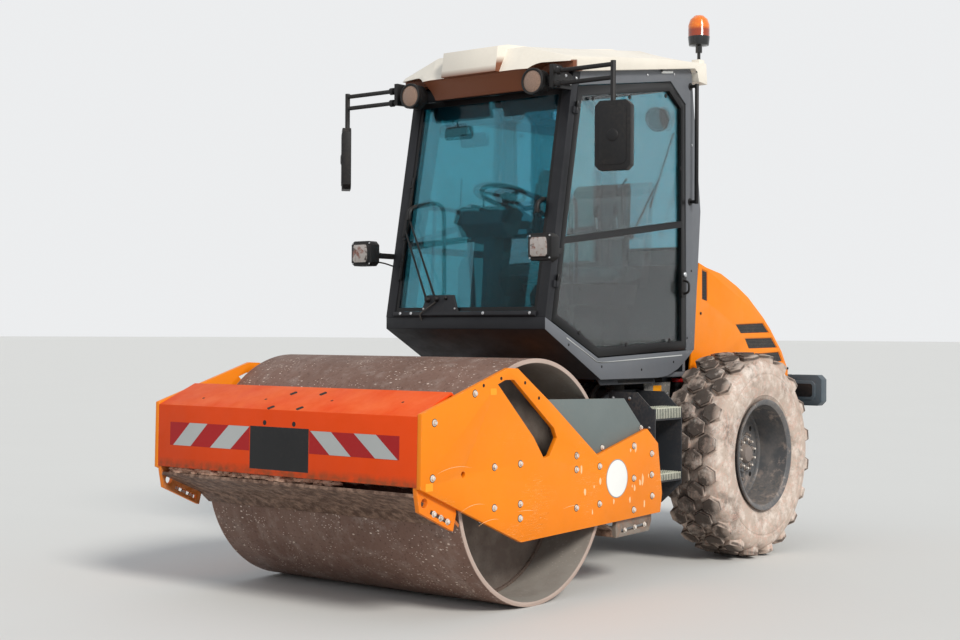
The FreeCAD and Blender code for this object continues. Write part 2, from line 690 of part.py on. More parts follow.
def make_engine_and_weight():
    engine_rear = axle_x - 700
    name_part(box((engine_rear, engine_rear + dim.engine_length), (-dim.engine_half, dim.engine_half),
                  (dim.engine_low, dim.engine_high)), "engine_block")
    weight = box((-half_length, chassis_rear), (-dim.chassis_half, dim.chassis_half),
                 (dim.weight_low + 60, dim.weight_high))
    name_part(fuse([weight] + hood_knuckles(1)), "counterweight")
    low = 850
    middle = (low + dim.weight_high) * 0.5
    lamps = []
    for name, side in SIDES:
        centre = (dim.chassis_half + dim.rear_lamp_reach * 0.5) * side
        outline = moved(clipped(dim.rear_lamp_reach, dim.weight_high - low, 30), centre, middle)
        raised = moved(clipped(dim.rear_lamp_reach - 90, dim.weight_high - low - 80, 22), centre, middle)
        lamps.append(fuse([prism("YZ", outline, (rear_x, rear_x + 78)), prism("YZ", raised, (rear_x + 70, rear_x + 85))]))
    name_part(gather(lamps), "rear_lamp_housings")


STEP_TREADS = [(0, 840, 905), (120, 494, 537)]


def make_steps():
    front = pivot_x - dim.step_setback
    rear = axle_x + dim.step_ahead
    steps = []
    for name, side in SIDES:
        pieces = [box((rear, front), side_range(side, dim.chassis_half, dim.chassis_half + 10), (480, 905))]
        for setback, low, high in STEP_TREADS:
            pieces.append(box((rear, front), side_range(side, dim.chassis_half + setback, dim.step_outer_y - 1),
                              (low, high)))
        outline = [(dim.chassis_half, 995), (dim.step_outer_y - 117, 995), (dim.step_outer_y, 886),
                   (dim.step_outer_y, 477), (dim.step_outer_y - 132, 358), (dim.chassis_half + 60, 358),
                   (dim.chassis_half, 560)]
        pieces += [prism("YZ", [(y * side, z) for y, z in outline], (x, x + 8)) for x in (rear, front - 8)]
        steps.append(fuse(pieces))
    name_part(gather(steps), "steps")


# Cab. Outlines are (distance ahead of the cab's line, height).

DOOR_OPENING = [(779, 1385), (546, 2656), (-405, 2801), (-576, 2686), (-592, 1226), (338, 1190)]
SIDE_FRAME = [(834, 1409), (590, 2722), (-620, 2902), (-640, 2880), (-750, 2062), (-680, 1230),
              *reversed(DOOR_OPENING[:5])]
SKIRT = [(834, 1344), (834, 1409), *reversed(DOOR_OPENING[4:]), (-680, 1230), (-600, 1175),
         (-500, 1118), (-386, 1080), (-277, 1070), (313, 1070)]
LOWER_PANE = [(722, 1424), (658, 1798), (-532, 1952), (-538, 1282), (345, 1248)]
UPPER_PANE = [(651, 1836), (502, 2604), (-390, 2742), (-524, 2653), (-531, 1990)]
FLOOR_LOW = 1070
FLOOR = [(834, 1344), (834, 1409), (800, 1394), (790, 1372), (305, 1100), (-680, 1100), (-680, 1070), (313, 1070)]
REAR_WALL = [(-650, 1100), (-650, 1740), (-690, 1740), (-680, 1230), (-680, 1100)]
COWL = [(834, 1409), (848, 1420), (842, 1440), (790, 1440), (800, 1394.1)]
COWL_HUMP = [(-290, 1436), (-30, 1436), (-60, 1530), (-250, 1530)]
SCREEN = [(822, 1440), (600, 2640), (594, 2640), (816, 1440)]
BACK_GLASS = [(-732, 1830), (-741, 2062), (-648, 2820), (-641, 2820), (-734, 2062), (-725, 1830)]


HINGE_PLACES = [180, 1130]
DOOR_LEAN = math.degrees(math.atan2(779 - 546, 2656 - 1385))


def knuckle(side, place_up, direction):
    """Half of a door hinge: the post's half for direction 1, the door's for -1."""
    long = dim.knuckle_length
    low = 0 if direction > 0 else long + dim.seat_gap
    barrel = cylinder("Z", (0, 0), dim.knuckle_radius, low, long + low)
    face = dim.hinge_out if direction > 0 else dim.hinge_out + dim.door_sunk
    tab = box((3, 30) if direction > 0 else (-30, -3), (-face, 0) if side > 0 else (0, face), (low, long + low))
    half = fuse([barrel, tab])
    lean = Rotation(Vector(0, 1, 0), -DOOR_LEAN)
    foot = lean.multVec(Vector(0, 0, place_up))
    x = cab_x + (DOOR_OPENING[0][0] - dim.joint_gap * 0.5) + foot.x
    place(half, x, (dim.cab_half + dim.hinge_out) * side, DOOR_OPENING[0][1] + foot.z, lean)
    return half


def cab_prism(outline, span, loops=()):
    return prism("XZ", shifted(outline, cab_x), span, loops=[shifted(loop, cab_x) for loop in loops])


def make_cab_shell():
    inner = dim.cab_half - dim.cab_wall
    frames = []
    for name, side in SIDES:
        frames.append(cab_prism(SIDE_FRAME, side_range(side, dim.cab_half - dim.cab_post, dim.cab_half)))
        frames += [knuckle(side, place_up, 1) for place_up in HINGE_PLACES]
    span = (-(dim.cab_half - dim.cab_post), dim.cab_half - dim.cab_post)
    header = cab_prism([(584, 2716), (598, 2642), (560, 2648), (548, 2721)], span)
    rear_header = cab_prism([(-616, 2894), (-560, 2886), (-565, 2820), (-642, 2820)], span)
    waist = cab_prism([(-720, 1740), (-728, 1830), (-690, 1830), (-682, 1740)], span)
    name_part(fuse(frames + [header, rear_header, waist]), "cab_frame")
    skirts = [cab_prism(SKIRT, side_range(side, inner, dim.cab_half)) for name, side in SIDES]
    name_part(fuse(skirts + [cab_prism(FLOOR, (-inner, inner)), cab_prism(REAR_WALL, span)]), "cab_tub")
    hump = prism("YZ", COWL_HUMP, (cab_x + 824, cab_x + 842))
    name_part(fuse([cab_prism(COWL, span), hump]), "cab_cowl")
    name_part(cab_prism(SCREEN, span), "windscreen")
    name_part(cab_prism(BACK_GLASS, span), "rear_window")


def make_doors():
    for name, side in SIDES:
        outer = dim.cab_half - dim.door_sunk
        span = side_range(side, outer - dim.door_wall, outer)
        frame = cab_prism(inset(DOOR_OPENING, dim.joint_gap + 0.5), span, loops=[LOWER_PANE, UPPER_PANE])
        halves = [knuckle(side, place_up, -1) for place_up in HINGE_PLACES]
        name_part(fuse([frame] + halves), "door_%s" % name)
        middle = outer - dim.door_wall * 0.5
        glass_span = side_range(side, middle - dim.glass_wall * 0.5, middle + dim.glass_wall * 0.5)
        panes = [cab_prism(pane, glass_span) for pane in (LOWER_PANE, UPPER_PANE)]
        name_part(gather(panes), "door_glass_%s" % name)


# The roof is lofted across the cab through an edge outline and a higher inner outline.
ROOF_EDGE = [(590, 2722), (-620, 2902), (-648, 2884), (-668, 2830), (-765, 2824), (-752, 2948), (-318, 2913),
             (206, 2850), (640, 2790), (700, 2735)]
ROOF_INNER = [(590, 2722), (-620, 2902), (-648, 2884), (-668, 2830), (-800, 2826), (-790, 3008), (-471, 3015),
              (206, 2927), (690, 2868), (765, 2733)]
ROOF_RIDGE = [(700, 2740), (765, 2733), (800, 2733), (778, 2872), (690, 2892), (504, 2908), (65, 2959),
              (-329, 3018), (-620, 3022), (-700, 2960)]
VISOR = [(600, 2724), (752, 2734), (672, 2637), (606, 2646)]
BEACON = [(2970, 0), (2970, 10), (3015, 10), (3015, 20), (3055, 20), (3060, 60), (3112, 66), (3112, 64),
          (3180, 64), (3216, 52), (3238, 28), (3244, 0)]
BEACON_PLACE = (-735, 42)


def make_roof():
    edge = shifted(ROOF_EDGE, cab_x)
    middle = shifted(ROOF_INNER, cab_x)
    shell = lofted([(-roof_half, edge), (-(roof_half - 290), middle), (roof_half - 290, middle), (roof_half, edge)])
    ridge = cab_prism(ROOF_RIDGE, (-190, 190))
    visor = cab_prism(VISOR, (-355, 355))
    beacon_x = cab_x + BEACON_PLACE[0]
    beacon_y = roof_half - BEACON_PLACE[1]
    boss = box((beacon_x - 22, beacon_x + 40), (beacon_y - 26, beacon_y + 26), (2900, 2970))
    arches = []
    for name, side in SIDES:
        arches.append(cylinder("X", ((dim.cab_half - 110) * side, 2655), 110, cab_x + 640, cab_x + 900))
        arches.append(box((cab_x + 640, cab_x + 900), side_range(side, dim.cab_half - 110, roof_half + 10),
                          (2655, 2765)))
    name_part(cut(fuse([shell, ridge, visor, boss]), arches), "cab_roof")
    name_part(turned((beacon_x, beacon_y, 0), BEACON, axis="Z"), "beacon")
    lamps = []
    for name, side in SIDES:
        middle = dim.cab_half - 127
        body = turned((0, middle * side, 2656), [(cab_x + 690, 0), (cab_x + 690, 42), (cab_x + 715, 66),
                                                 (cab_x + 785, 66), (cab_x + 785, 0)], axis="X")
        arm = cab_prism([(596, 2690), (607.2, 2630), (740, 2640), (740, 2680)],
                        side_range(side, middle + 42, middle + 102))
        lamps.append(fuse([body, arm]))
    name_part(gather(lamps), "roof_lamps")


SEAT_BASE = [(-380, 1100), (-330, 1610), (-20, 1610), (30, 1100)]
SEAT_CUSHION = [(-400, 1610), (30, 1610), (60, 1660), (45, 1730), (-390, 1715)]
SEAT_BACK = [(-500, 1690), (-385, 1690), (-440, 2200), (-465, 2250), (-520, 2245), (-540, 2190)]
COLUMN = [(590, 1260.2), (700, 1321.9), (640, 1860), (480, 1860)]
BINNACLE = [(690, 1925), (665, 2005), (600, 2025)]
STEM_LEAN = 20
WHEEL_PLACE = (420, 2090)


def make_cab_inside():
    seat = fuse([cab_prism(SEAT_BASE, (-170, 170)), cab_prism(SEAT_CUSHION, (-240, 240)),
                 cab_prism(SEAT_BACK, (-225, 225))])
    name_part(seat, "seat")
    lean = math.radians(STEM_LEAN)
    foot = (WHEEL_PLACE[0] + dim.wheel_stem * math.sin(lean), WHEEL_PLACE[1] - dim.wheel_stem * math.cos(lean))
    seat_face = [(foot[0] + 60 * step * math.cos(lean), foot[1] + 60 * step * math.sin(lean)) for step in (1, -1)]
    binnacle = BINNACLE + seat_face + [(470, 1850), (640, 1850)]
    name_part(fuse([cab_prism(COLUMN, (-70, 70)), cab_prism(binnacle, (-160, 160))]), "steering_console")
    grip = dim.wheel_grip
    ring = turned((0, 0, 0), [(-grip, dim.wheel_radius), (grip * -0.5, dim.wheel_radius + grip),
                              (grip * 0.5, dim.wheel_radius + grip), (grip, dim.wheel_radius),
                              (grip * 0.5, dim.wheel_radius - grip), (grip * -0.5, dim.wheel_radius - grip)],
                  axis="Z")
    spokes = []
    for count in range(3):
        spoke = document.addObject("Part::Box", "Spoke")
        bind(spoke, "Length", dim.wheel_radius)
        spoke.Width = 28
        spoke.Height = 12
        turn = Rotation(Vector(0, 0, 1), 60 + 120 * count)
        spoke.Placement = Placement(turn.multVec(Vector(0, -14, -6)), turn)
        spokes.append(spoke)
    hub = cylinder("Z", (0, 0), 40, dim.seat_gap - dim.wheel_stem, 12)
    wheel = fuse([ring, hub] + spokes)
    place(wheel, cab_x + WHEEL_PLACE[0], 0, WHEEL_PLACE[1], Rotation(Vector(0, 1, 0), -STEM_LEAN))
    name_part(wheel, "steering_wheel")


HEADLAMP_Z = 1765
MIRROR_BRACKET = [(609, 2622), (595.2, 2696), (640, 2712), (700, 2738), (775, 2738), (775, 2615)]


def make_headlamps():
    lamps = []
    for name, side in SIDES:
        outline = moved(clipped(dim.lamp_width, 140, 20), (dim.cab_half + 65) * side, HEADLAMP_Z)
        glass = moved(clipped(dim.lamp_width - 30, 110, 14), (dim.cab_half + 65) * side, HEADLAMP_Z)
        arm = box((cab_x + 722, cab_x + 915), side_range(side, dim.cab_half, dim.cab_half + 30),
                  (HEADLAMP_Z - 25, HEADLAMP_Z + 5))
        lamps.append(fuse([prism("YZ", outline, (cab_x + 905, cab_x + 975)),
                           prism("YZ", glass, (cab_x + 970, cab_x + 985)), arm]))
    name_part(gather(lamps), "headlamps")


def make_mirrors():
    mirrors = []
    tube_x = cab_x + 758
    for (name, side), yaw in zip(SIDES, (12, 45)):
        turn = math.radians(yaw)
        half_width = dim.mirror_width * 0.5
        half_depth = dim.mirror_depth * 0.5
        middle = dim.cab_half + dim.mirror_reach - (half_width * math.cos(turn) + half_depth * math.sin(turn))
        upright = middle - 8
        arms = [cylinder("Y", (tube_x, z), dim.tube_radius, *side_range(side, dim.cab_half - 20, upright))
                for z in (2632, 2700)]
        drop = cylinder("Z", (tube_x, upright * side), dim.tube_radius + 2, 2330, 2718)
        head = prism("YZ", clipped(dim.mirror_width, dim.mirror_height, 25), (-half_depth, half_depth))
        place(head, tube_x, middle * side, 2333, Rotation(Vector(0, 0, 1), yaw * side))
        bracket = cab_prism(MIRROR_BRACKET, side_range(side, dim.cab_half - 23, dim.cab_half + 1))
        mirrors.append(fuse(arms + [drop, head, bracket]))
    name_part(gather(mirrors), "mirrors")


def make_handles_and_mounts():
    handles = []
    x = cab_x - 625
    reach = dim.cab_half + 45
    for name, side in SIDES:
        bar = cylinder("Z", (x, reach * side), dim.tube_radius, 2097, 2810)
        ends = [cylinder("Y", (x, z), dim.tube_radius - 2, *side_range(side, dim.cab_half, reach))
                for z in (2110, 2797)]
        handles.append(fuse([bar] + ends))
    name_part(gather(handles), "grab_handles")
    mounts = [cylinder("Z", (cab_x + place_x, y), 55, dim.chassis_high, FLOOR_LOW)
              for place_x in (-60, -470) for y in (-400, 400)]
    name_part(gather(mounts), "cab_mounts")


# Engine hood, hinged at its lower rear edge

HOOD_TOP = [(-710, 1000.3), (-829, 1757), (-914, 1733), (-1103, 1699), (-1299, 1628)]
HOOD_TAIL = [(556, 1562), (346, 1431), (254, 1360), (96, 1215), (5, 1090), (5, 1000.3)]
HOLLOW_TOP = [(-650, 990), (-790, 1800), (-920, 1719), (-1101, 1686), (-1294, 1616)]
HOLLOW_TAIL = [(563, 1551), (354, 1420), (263, 1351), (107, 1206), (17, 1084), (17, 990)]
VENTS = [
    [(717, 1389), (350, 1400), (265, 1335), (644, 1328)],
    [(596, 1300), (230, 1305), (150, 1236), (539, 1231)],
    [(401, 1203), (130, 1212), (75, 1145), (324, 1139)],
    [(1134, 1722), (1069, 1708), (1065, 1522), (1132, 1534)],
]


def make_hood():
    shell = prism("XZ", shifted(HOOD_TOP, cab_x) + shifted(HOOD_TAIL, chassis_rear), (-dim.hood_half, dim.hood_half))
    inner = dim.hood_half - dim.hood_wall
    hollow = prism("XZ", shifted(HOLLOW_TOP, cab_x) + shifted(HOLLOW_TAIL, chassis_rear), (-inner, inner))
    vents = [prism("XZ", shifted(vent, chassis_rear), side_range(side, dim.hood_half - dim.vent_depth, dim.hood_half + 5))
             for vent in VENTS for name, side in SIDES]
    name_part(cut(fuse([shell] + hood_knuckles(-1)), [hollow] + vents), "hood")


def make_cylinder_set():
    y = dim.eye_side
    z = dim.pivot_height
    low = z - dim.eye_height * 0.5
    high = z + dim.eye_height * 0.5
    eye_x = pivot_x - dim.eye_back
    barrel = fuse([cylinder("X", (y, z), dim.barrel_radius, anchor_x + 45, barrel_front),
                   box((anchor_x, anchor_x + 50), (y - 20, y + 20), (low, high)),
                   cylinder("Z", (anchor_x, y), 30, low, high)])
    bores = [cylinder("X", (y, z), dim.rod_radius + dim.running_clearance, anchor_x + 120, barrel_front + 1),
             cylinder("Z", (anchor_x, y), dim.eye_pin + dim.running_clearance, low - 1, high + 1)]
    name_part(cut(barrel, bores), "cylinder_barrel")
    rod = fuse([cylinder("X", (y, z), dim.rod_radius, barrel_front - 160, eye_x),
                cylinder("Z", (eye_x, y), dim.eye_radius, low, high)])
    name_part(rod, "cylinder_rod")


make_drum()
make_side_plates()
make_beams()
make_drum_carriers()
make_scrapers()
make_pivot()
make_chassis()
make_axle()
make_wheels()
make_engine_and_weight()
make_steps()
make_cab_shell()
make_doors()
make_roof()
make_cab_inside()
make_headlamps()
make_mirrors()
make_handles_and_mounts()
make_hood()
make_cylinder_set()

document.recompute()

problems = [thing.Name for thing in document.Objects if "Invalid" in thing.State or "Error" in thing.State]
for thing in finished:
    if thing.Shape.isNull() or not thing.Shape.isValid() or not thing.Shape.Solids:
        problems.append(thing.Label)
if problems:
    raise RuntimeError("failed: " + ", ".join(problems))

os.makedirs("parts", exist_ok=True)
for thing in finished:
    thing.Shape.exportStep("parts/%s.step" % thing.Label)
    print("%-20s %2d solids %12.0f mm3" % (thing.Label, len(thing.Shape.Solids), thing.Shape.Volume))
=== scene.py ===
import math
import random

import bmesh
import bpy
from mathutils import Matrix, Vector


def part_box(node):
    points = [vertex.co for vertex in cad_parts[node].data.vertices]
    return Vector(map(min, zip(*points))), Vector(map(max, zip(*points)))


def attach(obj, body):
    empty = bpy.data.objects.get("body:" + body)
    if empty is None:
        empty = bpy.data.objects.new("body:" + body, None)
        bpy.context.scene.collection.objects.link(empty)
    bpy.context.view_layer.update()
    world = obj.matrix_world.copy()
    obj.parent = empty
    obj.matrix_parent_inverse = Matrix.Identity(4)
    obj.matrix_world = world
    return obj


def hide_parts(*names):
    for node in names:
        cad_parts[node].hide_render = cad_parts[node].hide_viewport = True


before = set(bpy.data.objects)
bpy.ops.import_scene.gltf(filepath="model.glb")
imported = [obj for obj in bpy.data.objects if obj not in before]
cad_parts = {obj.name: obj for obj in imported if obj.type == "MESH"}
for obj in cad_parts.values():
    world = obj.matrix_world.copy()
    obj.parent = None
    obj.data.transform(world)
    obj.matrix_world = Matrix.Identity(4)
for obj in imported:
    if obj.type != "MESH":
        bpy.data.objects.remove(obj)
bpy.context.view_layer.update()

# Looks of a road roller. Metres, +X forward, +Y to the machine's left, +Z up, ground at Z = 0.

SIDES = (("left", 1), ("right", -1))


# Places taken from the frame

drum_low, drum_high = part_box("drum_shell")
DRUM_X = (drum_low.x + drum_high.x) / 2
DRUM_RADIUS = (drum_high.z - drum_low.z) / 2
DRUM_HALF = (drum_high.y - drum_low.y) / 2
rim_low, rim_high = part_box("rim_left")
AXLE_X = (rim_low.x + rim_high.x) / 2
AXLE_Z = (rim_low.z + rim_high.z) / 2
tyre_low, tyre_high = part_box("tyre_left")
TYRE_RADIUS = (tyre_high.x - tyre_low.x) / 2
PLATE_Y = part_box("side_plate_left")[1].y
CAB_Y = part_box("cab_tub")[1].y


# Camera, at the place the photograph was taken from

PHOTO_WIDTH = 960
FOCAL_PIXELS = 1542.0
SENSOR = 36.0
CAMERA_PLACE = Vector((7.3379, 5.2758, 1.3143))
CAMERA_YAW = math.radians(-141.606)
CAMERA_PITCH = math.radians(0.540)
CAMERA_ROLL = math.radians(0.302)


def make_camera():
    forward = Vector((math.cos(CAMERA_YAW) * math.cos(CAMERA_PITCH),
                      math.sin(CAMERA_YAW) * math.cos(CAMERA_PITCH), math.sin(CAMERA_PITCH)))
    level = Vector((math.sin(CAMERA_YAW), -math.cos(CAMERA_YAW), 0))
    above = level.cross(forward)
    right = level * math.cos(CAMERA_ROLL) + above * math.sin(CAMERA_ROLL)
    up = above * math.cos(CAMERA_ROLL) - level * math.sin(CAMERA_ROLL)
    data = bpy.data.cameras.new("camera")
    data.sensor_width = SENSOR
    data.lens = FOCAL_PIXELS * SENSOR / PHOTO_WIDTH
    data.clip_end = 900
    camera = bpy.data.objects.new("camera", data)
    camera.matrix_world = Matrix.Translation(CAMERA_PLACE) @ Matrix((right, up, -forward)).transposed().to_4x4()
    bpy.context.scene.collection.objects.link(camera)
    bpy.context.scene.camera = camera


make_camera()


# Materials

def linear(red, green, blue):
    """A colour as a screen shows it, 0 to 255, as the shader wants it."""
    channels = []
    for value in (red, green, blue):
        share = value / 255
        channels.append(share / 12.92 if share <= 0.04045 else ((share + 0.055) / 1.055) ** 2.4)
    return (*channels, 1.0)


class Finish:
    """A procedural material. Its patterns are measured in metres on the machine."""

    def __init__(self, name, colour, roughness=0.5, metallic=0.0, coat=0.0, specular=0.5):
        self.material = bpy.data.materials.new(name)
        self.material.use_nodes = True
        self.tree = self.material.node_tree
        self.shader = self.tree.nodes["Principled BSDF"]
        self.colour = linear(*colour)
        self.shader.inputs["Base Color"].default_value = self.colour
        self.shader.inputs["Roughness"].default_value = roughness
        self.shader.inputs["Metallic"].default_value = metallic
        self.shader.inputs["Coat Weight"].default_value = coat
        self.shader.inputs["Coat Roughness"].default_value = 0.2
        self.shader.inputs["Specular IOR Level"].default_value = specular
        self.roughness = roughness
        self.place = self.tree.nodes.new("ShaderNodeTexCoord").outputs["Object"]
        self.bumps = None

    def put(self, socket, value):
        if isinstance(value, bpy.types.NodeSocket):
            self.tree.links.new(value, socket)
        else:
            socket.default_value = value

    def node(self, kind, inputs, **settings):
        made = self.tree.nodes.new("ShaderNode" + kind)
        for key, value in settings.items():
            setattr(made, key, value)
        for key, value in inputs.items():
            self.put(made.inputs[key], value)
        return made

    def stretched(self, x, y, z):
        return self.node("Mapping", {"Vector": self.place, "Scale": (x, y, z)}).outputs["Vector"]

    def noise(self, scale, detail=4.0, rough=0.55, vector=None, distortion=0.0):
        made = self.node("TexNoise", {"Vector": vector or self.place, "Scale": scale, "Detail": detail,
                                      "Roughness": rough, "Distortion": distortion})
        return made.outputs["Fac"]

    def cells(self, scale, vector=None, feature="F1", output="Distance"):
        made = self.node("TexVoronoi", {"Vector": vector or self.place, "Scale": scale}, feature=feature)
        return made.outputs[output]

    def math(self, operation, first, second=0.0):
        return self.node("Math", {0: first, 1: second}, operation=operation).outputs[0]

    def band(self, value, low, high):
        """0 below low, 1 above high, or the other way round where low is the larger."""
        made = self.node("MapRange", {"Value": value, "From Min": low, "From Max": high})
        return made.outputs["Result"]

    def both(self, first, second):
        return self.math("MULTIPLY", first, second)

    def either(self, first, second):
        return self.math("MAXIMUM", first, second)

    def along(self, letter):
        return self.node("SeparateXYZ", {0: self.place}).outputs[letter]

    def facing(self, letter):
        normal = self.tree.nodes.new("ShaderNodeNewGeometry").outputs["Normal"]
        return self.node("SeparateXYZ", {0: normal}).outputs[letter]

    def edge(self, radius):
        """1 on sharp outer edges, 0 on flat faces."""
        soft = self.node("Bevel", {"Radius": radius}, samples=4).outputs["Normal"]
        hard = self.tree.nodes.new("ShaderNodeNewGeometry").outputs["Normal"]
        turn = self.node("VectorMath", {0: soft, 1: hard}, operation="DOT_PRODUCT").outputs["Value"]
        return self.band(turn, 0.97, 0.8)

    def blend(self, share, first, second):
        made = self.node("Mix", {}, data_type="RGBA", clamp_factor=True)
        self.put(made.inputs[0], share)
        self.put(made.inputs[6], first)
        self.put(made.inputs[7], second)
        return made.outputs[2]

    def over(self, share, colour):
        """Lay a colour over what is there, where share is 1."""
        colour = linear(*colour) if isinstance(colour, tuple) and len(colour) == 3 else colour
        self.colour = self.blend(share, self.colour, colour)
        self.tree.links.new(self.colour, self.shader.inputs["Base Color"])
        return self

    def rough(self, share, value):
        base = self.roughness
        made = self.node("Mix", {}, data_type="FLOAT", clamp_factor=True)
        self.put(made.inputs[0], share)
        self.put(made.inputs[2], base)
        self.put(made.inputs[3], value)
        self.roughness = made.outputs[0]
        self.tree.links.new(self.roughness, self.shader.inputs["Roughness"])
        return self

    def raised(self, height, distance, strength=1.0):
        inputs = {"Height": height, "Distance": distance, "Strength": strength}
        if self.bumps:
            inputs["Normal"] = self.bumps
        self.bumps = self.node("Bump", inputs).outputs["Normal"]
        self.tree.links.new(self.bumps, self.shader.inputs["Normal"])
        return self

    def dusty(self, amount=0.5, colour=(168, 148, 128)):
        """Dust that settles on upward faces and gathers in broad patches."""
        patches = self.band(self.noise(3.0, 6, 0.65), 0.42, 0.72)
        upward = self.band(self.facing("Z"), 0.3, 1.0)
        speck = self.band(self.noise(60, 3, 0.6), 0.35, 0.75)
        share = self.both(self.math("ADD", self.both(upward, 0.5), self.both(patches, 0.5)), speck)
        share = self.both(share, amount)
        return self.over(share, colour).rough(share, 0.9)

    def grainy(self, size=400, distance=0.0004, strength=0.3):
        return self.raised(self.noise(size, 3, 0.6), distance, strength)


def scratches(finish, colour, amount=0.8, where=None, stretch=(3, 3, 55), scale=2.2):
    """Long thin marks that follow one direction, only inside loose patches."""
    line = finish.noise(scale, 3, 0.5, finish.stretched(*stretch), 0.35)
    line = finish.band(finish.math("ABSOLUTE", finish.math("SUBTRACT", line, 0.5)), 0.006, 0.001)
    patch = finish.band(finish.noise(2.4, 3, 0.5), 0.53, 0.6)
    share = finish.both(finish.both(line, patch), amount)
    if where:
        share = finish.both(share, where)
    return finish.over(share, colour)


def scuffs(finish, colour, size=14, amount=0.9, where=None, limit=0.16):
    """Small pale spots, where something struck the paint."""
    spot = finish.cells(size, finish.stretched(1.0, 1.0, 0.55))
    spot = finish.band(spot, limit, limit * 0.6)
    patch = finish.band(finish.noise(5.0, 2, 0.5), 0.56, 0.62)
    share = finish.both(finish.both(spot, patch), amount)
    if where:
        share = finish.both(share, where)
    return finish.over(share, colour).rough(share, 0.8)


def painted(name, colour, roughness=0.42, coat=0.25, dust=0.25, worn=(205, 190, 172), wear=0.5):
    """Machine paint: uneven gloss, orange peel, worn edges and a little dust."""
    finish = Finish(name, colour, roughness, coat=coat, specular=0.28)
    shade = tuple(int(value * 0.86) for value in colour)
    finish.over(finish.both(finish.band(finish.noise(1.7, 5, 0.6), 0.35, 0.75), 0.45), shade)
    finish.rough(finish.band(finish.noise(9, 4, 0.6), 0.4, 0.8), roughness + 0.18)
    chipped = finish.both(finish.edge(0.004), finish.band(finish.noise(35, 5, 0.7), 0.5, 0.62))
    finish.over(finish.both(chipped, wear), worn)
    finish.dusty(dust)
    finish.raised(finish.noise(260, 2, 0.5), 0.0003, 0.25)
    return finish


